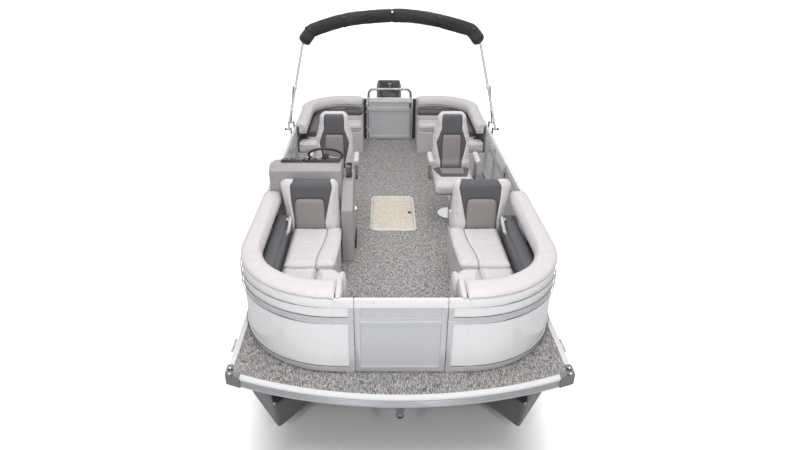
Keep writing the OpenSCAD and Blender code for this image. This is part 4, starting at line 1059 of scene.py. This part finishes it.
def chair_seat_fields(origin):
    """The seat's two panels and the seam of its front roll, in the chair's own place."""
    def fields(points, normal):
        flat = (points - origin)[:, :2]
        top = normal[:, 2] > 0.1
        dark, let_in, seam = panelled(inside(flat, seat_dark), inside(flat, seat_insert), top)
        seam = np.where(top, np.minimum(seam, to_line(flat, seat_roll)), 1.0)
        return {"charcoal": dark, "insert": let_in, "seam": seam,
                "groove": pleat(seam, 0.006, 0.009)}
    return fields


def chair_back_fields(origin):
    """The back's bib and insert, in the chair's own place."""
    fields = back_fields(bib, bib_insert, 1.09)
    return lambda points, normal: fields(points - origin, normal)


arm = slab(rectangle(-0.030, 0.030, -0.105, 0.190, 0.028, 8), 0.636, 0.702, 0.02, 4)
arms = [moved(arm, (side * arm_x, 0, 0)) for side in (-1, 1)]
for body, origin in chairs.items():
    seat = plump(body + "_seat_cushion",
                 [moved(across(seat_profile, -half_seat, half_seat, 0.05), origin)], body,
                 panel_vinyl, 0.010, chair_seat_fields(origin), fill=0.7)
    back = plump(body + "_back_cushion",
                 [moved(across(tall_profile, -half_seat, half_seat, 0.045, shape=shoulders),
                        origin)], body, panel_vinyl, 0.012, chair_back_fields(origin), fill=0.7)
    plump(body + "_arm_pads", [moved(form, origin) for form in arms], body, pale_vinyl, 0.005,
          plain_fields(0.665), fill=0.8)
    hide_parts(body + "_seat")
    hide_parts(body + "_back")
coat(chrome, "chair_pedestals")

# ---------------------------------------------------------------- chair shells
# Under the cushions each chair has a moulded plastic pan, a plate on its pedestal and two arm
# posts. They turn with the chair.
shell_grey = finish("moulded_abs_chair_shell", "#8E8C8E", 0.45, grain=("TexVoronoi", 500),
                    bump=(0.2, 0.0005))[0]
shell_parts = [slab(rectangle(-0.150, 0.150, -0.150, 0.150, 0.03), 0.312, 0.370, 0.006, 3),
               slab(rectangle(-0.215, 0.215, -0.290, 0.205, 0.06), 0.366, 0.386, 0.006, 3)]
for s in (-1, 1):
    shell_parts.append(block((s * arm_x - 0.016, 0.062, 0.405), (s * arm_x + 0.016, 0.118, 0.640),
                             0.008))
    shell_parts.append(block((s * 0.234 - 0.030, 0.062, 0.400), (s * 0.234 + 0.030, 0.118, 0.450),
                             0.006))
for body, origin in chairs.items():
    piece(body + "_shell", {shell_grey: [moved(form, origin) for form in shell_parts]}, body)

# ---------------------------------------------------------------- helm console
# Moulded polyethylene console with a rolled, upholstered-looking grey top, an open footwell on
# the helm side, a lower wing with the throttle, a black dash with two glass displays.
console_grey, tree, shader, place = finish("grey_rotomoulded_console", "#ABA5A7", 0.42,
                                           grain=("TexVoronoi", 420), bump=(0.2, 0.0006))
cloud = add(tree, "TexNoise", {"Vector": place, "Scale": 5, "Detail": 3})
add(tree, "ValToRGB", {"Fac": cloud}, ramp=((0, "#A49EA0"), (1, "#B3AEB0")),
    to=shader.inputs["Base Color"])
softened("console_shell", "helm_console", 0.012, "hull", console_grey, 3, 40)
softened("console_wing_shell", "helm_wing", 0.014, "hull", console_grey, 3, 40)

black_plastic = finish("black_textured_abs", "#2B2B2D", 0.42, grain=("TexVoronoi", 600),
                       bump=(0.3, 0.0004))[0]
dark_glass = finish("cover_glass_over_dark_display", "#0B0D10", 0.06,
                    grain=("TexNoise", 30, 5), wear=(0.03, 0.14))[0]
softened("dash_housings", "helm_dash", 0.004, "hull", black_plastic)
tilt = math.radians(-14)
dash_turn = np.array([[1, 0, 0], [0, math.cos(tilt), -math.sin(tilt)],
                      [0, math.sin(tilt), math.cos(tilt)]])
dash_at = (0, 2.182, 0.930)
glass = [moved(slab(rectangle(low_x, high_x, 0.034, 0.196, 0.008), 0.0262, 0.0282, 0.0005, 2),
               dash_at, dash_turn) for low_x, high_x in ((-1.100, -0.905), (-0.873, -0.552))]
switches = [moved(slab(rectangle(x - 0.009, x + 0.009, 0.222, 0.248, 0.003), 0.0, 0.010, 0.002, 2),
                  dash_at, dash_turn) for x in np.linspace(-1.08, -0.92, 5).tolist()]
piece("dash_glass", {dark_glass: glass, black_plastic: switches})

# ---------------------------------------------------------------- steering wheel
# A soft black polyurethane rim on three polished spokes with a small hub. It turns on a short
# column that leans back from the dash.
soft_rim = finish("black_polyurethane_wheel_rim", "#333335", 0.5, grain=("TexVoronoi", 450),
                  bump=(0.3, 0.0005))[0]
rake = math.radians(48)
wheel_turn = toward((0, math.cos(rake), math.sin(rake)))
wheel_at = np.array([-0.705, 2.517, 0.885])
wheel_radius = 0.17
a = np.linspace(0, 2 * np.pi, 64, endpoint=False)
rim = bar(np.stack([wheel_radius * np.cos(a), wheel_radius * np.sin(a), 0 * a], -1),
          0.0128 + 0.0008 * np.cos(3 * a), 14, loop=True)
spokes = []
for t in np.radians([90, 210, 330]):
    d = np.array([math.cos(t), math.sin(t), 0])
    spokes.append(bar(np.array([d * 0.02 + (0, 0, -0.012), d * 0.08 + (0, 0, -0.012),
                                d * 0.14 + (0, 0, -0.005), d * 0.165]), 0.0075, 10))
hub = turned([(0.005, -0.040), (0.030, -0.040), (0.036, -0.010), (0.034, 0.006), (0.020, 0.012),
              (0.004, 0.013)], 32)
column = turned([(0.008, -0.150), (0.019, -0.150), (0.019, -0.042), (0.008, -0.040)], 24)
wheel = piece("wheel", {made: [moved(form, wheel_at, wheel_turn) for form in forms]
                        for made, forms in ((soft_rim, [rim, hub]), (chrome, spokes),
                                            (black_plastic, [column]))}, "helm_wheel")
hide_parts("steering_wheel")
coat(black_plastic, "throttle")

# ---------------------------------------------------------------- console fittings
# A black rubber kick plate at the foot of the console's wing, and a courtesy light above it:
# a lit lens in a polished ring, pressed into the wing's aisle side.
kick = block((-0.4048, 2.15, 0.002), (-0.392, 2.43, 0.10), 0.004)
wing_side = room("helm_wing")[1][0]
warm_glow, tree, shader, place = finish("lit_courtesy_lens", "#FFF3E0", 0.3,
                                        grain=("TexNoise", 300), wear=(0.25, 0.4))
shader.inputs["Emission Color"].default_value = linear("#FFF1DC")
shader.inputs["Emission Strength"].default_value = 0.9
lens = [(0.016, 0), (0.016, 0.008), (0.012, 0.015), (0.001, 0.018)]
bezel = [(0.0225, 0), (0.0225, 0.003), (0.0165, 0.004), (0.0165, 0)]
lens, bezel = (moved(turned(profile, 24), (wing_side + gap, 2.28, 0.40), toward((1, 0, 0)))
               for profile, gap in ((lens, 0.0005), (bezel, 0.0002)))
piece("console_fittings", {black_rubber: [kick], chrome: [bezel], warm_glow: [lens]})

# ---------------------------------------------------------------- floor hatch
# A lid in a bright white moulded rim, with a small dark slam latch to port. The lid's cream tint
# and its mottle are painted reflection of warm light.
white_rim = finish("bright_white_moulded_rim", "#F4F4F2", 0.3, grain=("TexNoise", 400),
                   wear=(0.24, 0.36))[0]
cream_lid, tree, shader, place = finish("nonslip_lid_painted_warm_reflection", "#E6DBCB", 0.5,
                                        grain=("TexVoronoi", 330), bump=(0.4, 0.0008))
# the mottle between two creams is painted reflection of warm light on the lid, like its cream tint
mottle = add(tree, "TexNoise", {"Vector": place, "Scale": 38, "Detail": 4})
add(tree, "ValToRGB", {"Fac": mottle}, ramp=((0.35, "#D8CBB8"), (0.65, "#EBE3D6")),
    to=shader.inputs["Base Color"])
softened("hatch_lid_skin", "hatch_lid", 0.002, "floor_hatch", cream_lid)
rim_line = rectangle(-0.2405, 0.2405, 2.5525, 3.4275, 0.058, 10)
piece("hatch_rim", {white_rim: [bar(level(rim_line, 0.0035), 0.0085, 12, loop=True)]})
panel = slab(rectangle(-0.205, 0.205, 2.590, 3.390, 0.035), 0.0035, 0.0050, 0.001, 2)
latch = slab(rectangle(0.176, 0.214, 2.955, 3.010, 0.006), 0.004, 0.0085, 0.002, 2)
piece("hatch_lid_latch", {cream_lid: [panel], black_plastic: [latch]}, "floor_hatch")

# ---------------------------------------------------------------- tow bar, ladder, motor
# Bent and welded stainless or anodised tube, buffed bright. The outboard's leg and swivel are
# die-cast aluminium under satin dark grey paint, below a moulded cowl in gloss black.
bright_tube = finish("buffed_anodised_tube", "#A3A5A8", 0.2, 1.0, ("TexNoise", 140, 4),
                     wear=(0.14, 0.28))[0]
black_cowl = finish("gloss_black_painted_cowl", "#0D0E0F", 0.16, grain=("TexNoise", 260, 2),
                    bump=(0.1, 0.0004))[0]
motor_grey = finish("satin_painted_die_casting", "#3A3B3E", 0.42, grain=("TexNoise", 180, 3),
                    bump=(0.2, 0.0006))[0]
coat(bright_tube, "ski_tow_bar", "boarding_ladder")
coat(motor_grey, "motor_swivel", "outboard_leg", "powerhead")
coat(black_cowl, "propeller")
softened("cowl_shell", "outboard_cowl", 0.014, "motor", black_cowl, 3, 25)

# ---------------------------------------------------------------- bimini
# Square and round anodised tube on black nylon fittings; the canvas is rolled in a zipped boot
# of black woven acrylic that hangs in a long arc over the poles and puckers at its straps.
coat(bright_tube, "bimini_frame", "bimini_braces")
coat(black_plastic, "bimini_mounts")
boot_cloth, tree, shader, place = finish("black_woven_acrylic_canvas", "#3E3F44", 0.85)
shader.inputs["Sheen Weight"].default_value = 0.12
# yarn about 1.2 mm wide over soft wrinkles, with painted shade in the wrinkles' hollows; the zip
# and the end seams are darker
yarn = add(tree, "Mapping", {"Vector": place, "Scale": (520, 520, 520)})
yarn = add(tree, "TexNoise", {"Vector": yarn, "Scale": 1.0, "Detail": 2})
wrinkle = add(tree, "TexNoise", {"Vector": place, "Scale": 9, "Detail": 4})
both = add(tree, "Math", {0: yarn, 1: 0.35, 2: wrinkle}, operation="MULTIPLY_ADD")
add(tree, "Bump", {"Height": both, "Strength": 0.5, "Distance": 0.003},
    to=shader.inputs["Normal"])
seam = add(tree, "Attribute", attribute_name="seam").outputs["Fac"]
dark = add(tree, "MapRange", {"Value": seam, "From Min": 0.0015, "From Max": 0.005,
                              "To Min": 0.7, "To Max": 0.0})
# the colour follows the wrinkles' height: painted shade, darker in their hollows
shade = add(tree, "ValToRGB", {"Fac": wrinkle}, ramp=((0, "#232427"), (1, "#36373B")))
add(tree, "Mix", {"Factor": dark, "A": shade, "B": "#17181A"}, data_type="RGBA",
    to=shader.inputs["Base Color"])

lean = math.radians(33)
pivot = np.array([0.0, 3.950, 0.700])
pole_way = np.array([0, math.sin(lean), math.cos(lean)])       # along the leaning poles
out_square = np.array([0, math.cos(lean), -math.sin(lean)])    # and square to them
arc_radius, arc_half, crown = 2.75, math.radians(22), 1.49     # crown is along the poles
end_drop, end_length = math.radians(58), 0.190
boot_radius = 0.085


def boot():
    """A rolled cloth tube: a circle carried along an arc and two straight ends, strapped in.

    Its radius swells and sinks along the run, and long folds wind slowly round it. It also
    gives each point's distance from the nearest seam, and the run's path and directions.
    """
    t = np.linspace(-arc_half, arc_half, 140)
    arc = np.stack([arc_radius * np.sin(t), crown - arc_radius * (1 - np.cos(t))], -1)
    end = arc[-1] + np.linspace(0, end_length, 22)[1:, None] * (math.cos(end_drop),
                                                                -math.sin(end_drop))
    line = np.vstack([(end * (-1, 1))[::-1], arc, end])
    for k in range(6):                                 # eases the bend where the ends hang down
        line[1:-1] = (line[:-2] + 2 * line[1:-1] + line[2:]) / 4
    s = np.concatenate([[0], np.cumsum(np.linalg.norm(np.diff(line, axis=0), axis=1))])
    s -= s[-1] / 2
    path = line[:, :1] * (1, 0, 0) + line[:, 1:] * pole_way
    along = np.gradient(path, s, axis=0)
    along /= np.linalg.norm(along, axis=1, keepdims=True)
    up = np.cross(along, out_square)
    up /= np.linalg.norm(up, axis=1, keepdims=True)
    a = np.linspace(0, 2 * np.pi, 56, endpoint=False)
    S, A = s[:, None], a[None]
    r = boot_radius * (0.965 + 0.009 * np.sin(9.0 * S + 1.0) + 0.006 * np.sin(23.0 * S))
    r = (r + 0.0035 * np.sin(3 * A + 7 * S) + 0.0018 * np.sin(7 * A - 11 * S)
         + 0.0012 * np.sin(13 * A + 31 * S))
    half = s[-1]
    for strap in (0.0, 0.62, -0.62, half - 0.17, -half + 0.17):
        r = r - 0.008 * np.exp(-((S - strap) / 0.022) ** 2)
    tip = np.clip((half - np.abs(S)) / 0.05, 0, 1)
    r = r * np.sqrt(1 - (1 - tip) ** 2 * 0.85)
    rings = path[:, None] + r[..., None] * (np.cos(a)[None, :, None] * out_square
                                            + np.sin(a)[None, :, None] * up[:, None])
    turn = np.abs(A - 4.2)
    zip_line = np.minimum(turn, 2 * np.pi - turn) * boot_radius + 0 * S
    ends = np.abs(half - np.abs(S) - 0.035) + 0 * A
    return skinned(rings + pivot), np.minimum(zip_line, ends).ravel(), path + pivot, along, s


roll, seams, boot_path, boot_along, boot_run = boot()
rolled = piece("bimini_canvas_boot", {boot_cloth: [roll]}, "bimini", {"seam": seams}, sharp=80)
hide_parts("bimini_boot")

# ---------------------------------------------------------------- boot straps and light
# Black polyester webbing 38 mm wide goes round the boot at four places, each with a moulded
# slide buckle. A small anchor light stands on the boot's middle.
webbing, tree, shader, place = finish("black_polyester_webbing", "#26272A", 0.7)
rib = add(tree, "TexWave", {"Vector": place, "Scale": 90, "Distortion": 1.0})
add(tree, "Bump", {"Height": rib, "Strength": 0.3, "Distance": 0.0006},
    to=shader.inputs["Normal"])
straps, buckles = [], []
a = np.linspace(0, 2 * np.pi, 40, endpoint=False)[:, None]
for at in (0.62, -0.62, boot_run[-1] - 0.17, -boot_run[-1] + 0.17):
    i = int(np.argmin(np.abs(boot_run - at)))
    centre, z = boot_path[i], boot_along[i]
    up = np.cross(z, out_square)
    rings = [centre + z * off + radius * (np.cos(a) * out_square + np.sin(a) * up)
             for off, radius in ((-0.019, 0.0795), (-0.017, 0.0825), (0.017, 0.0825),
                                 (0.019, 0.0795))]
    straps.append((np.concatenate(rings), grid_faces(4, 40, True, True), []))
    buckles.append(moved(block((-0.022, -0.006, -0.014), (0.022, 0.006, 0.014), 0.003),
                         centre - out_square * 0.0855, np.stack([z, out_square, up], 1)))
piece("boot_straps", {webbing: straps, black_plastic: buckles}, "bimini")

light_foot = boot_path[len(boot_path) // 2] - out_square * 0.079
socket, bulb = (moved(turned(profile, 24), light_foot, toward(-out_square)) for profile in (
    [(0.020, -0.010), (0.024, 0.0), (0.020, 0.012), (0.014, 0.014)],
    [(0.014, 0.012), (0.014, 0.022), (0.009, 0.028), (0.002, 0.030)]))
piece("anchor_light", {black_plastic: [socket], white_rim: [bulb]}, "bimini")
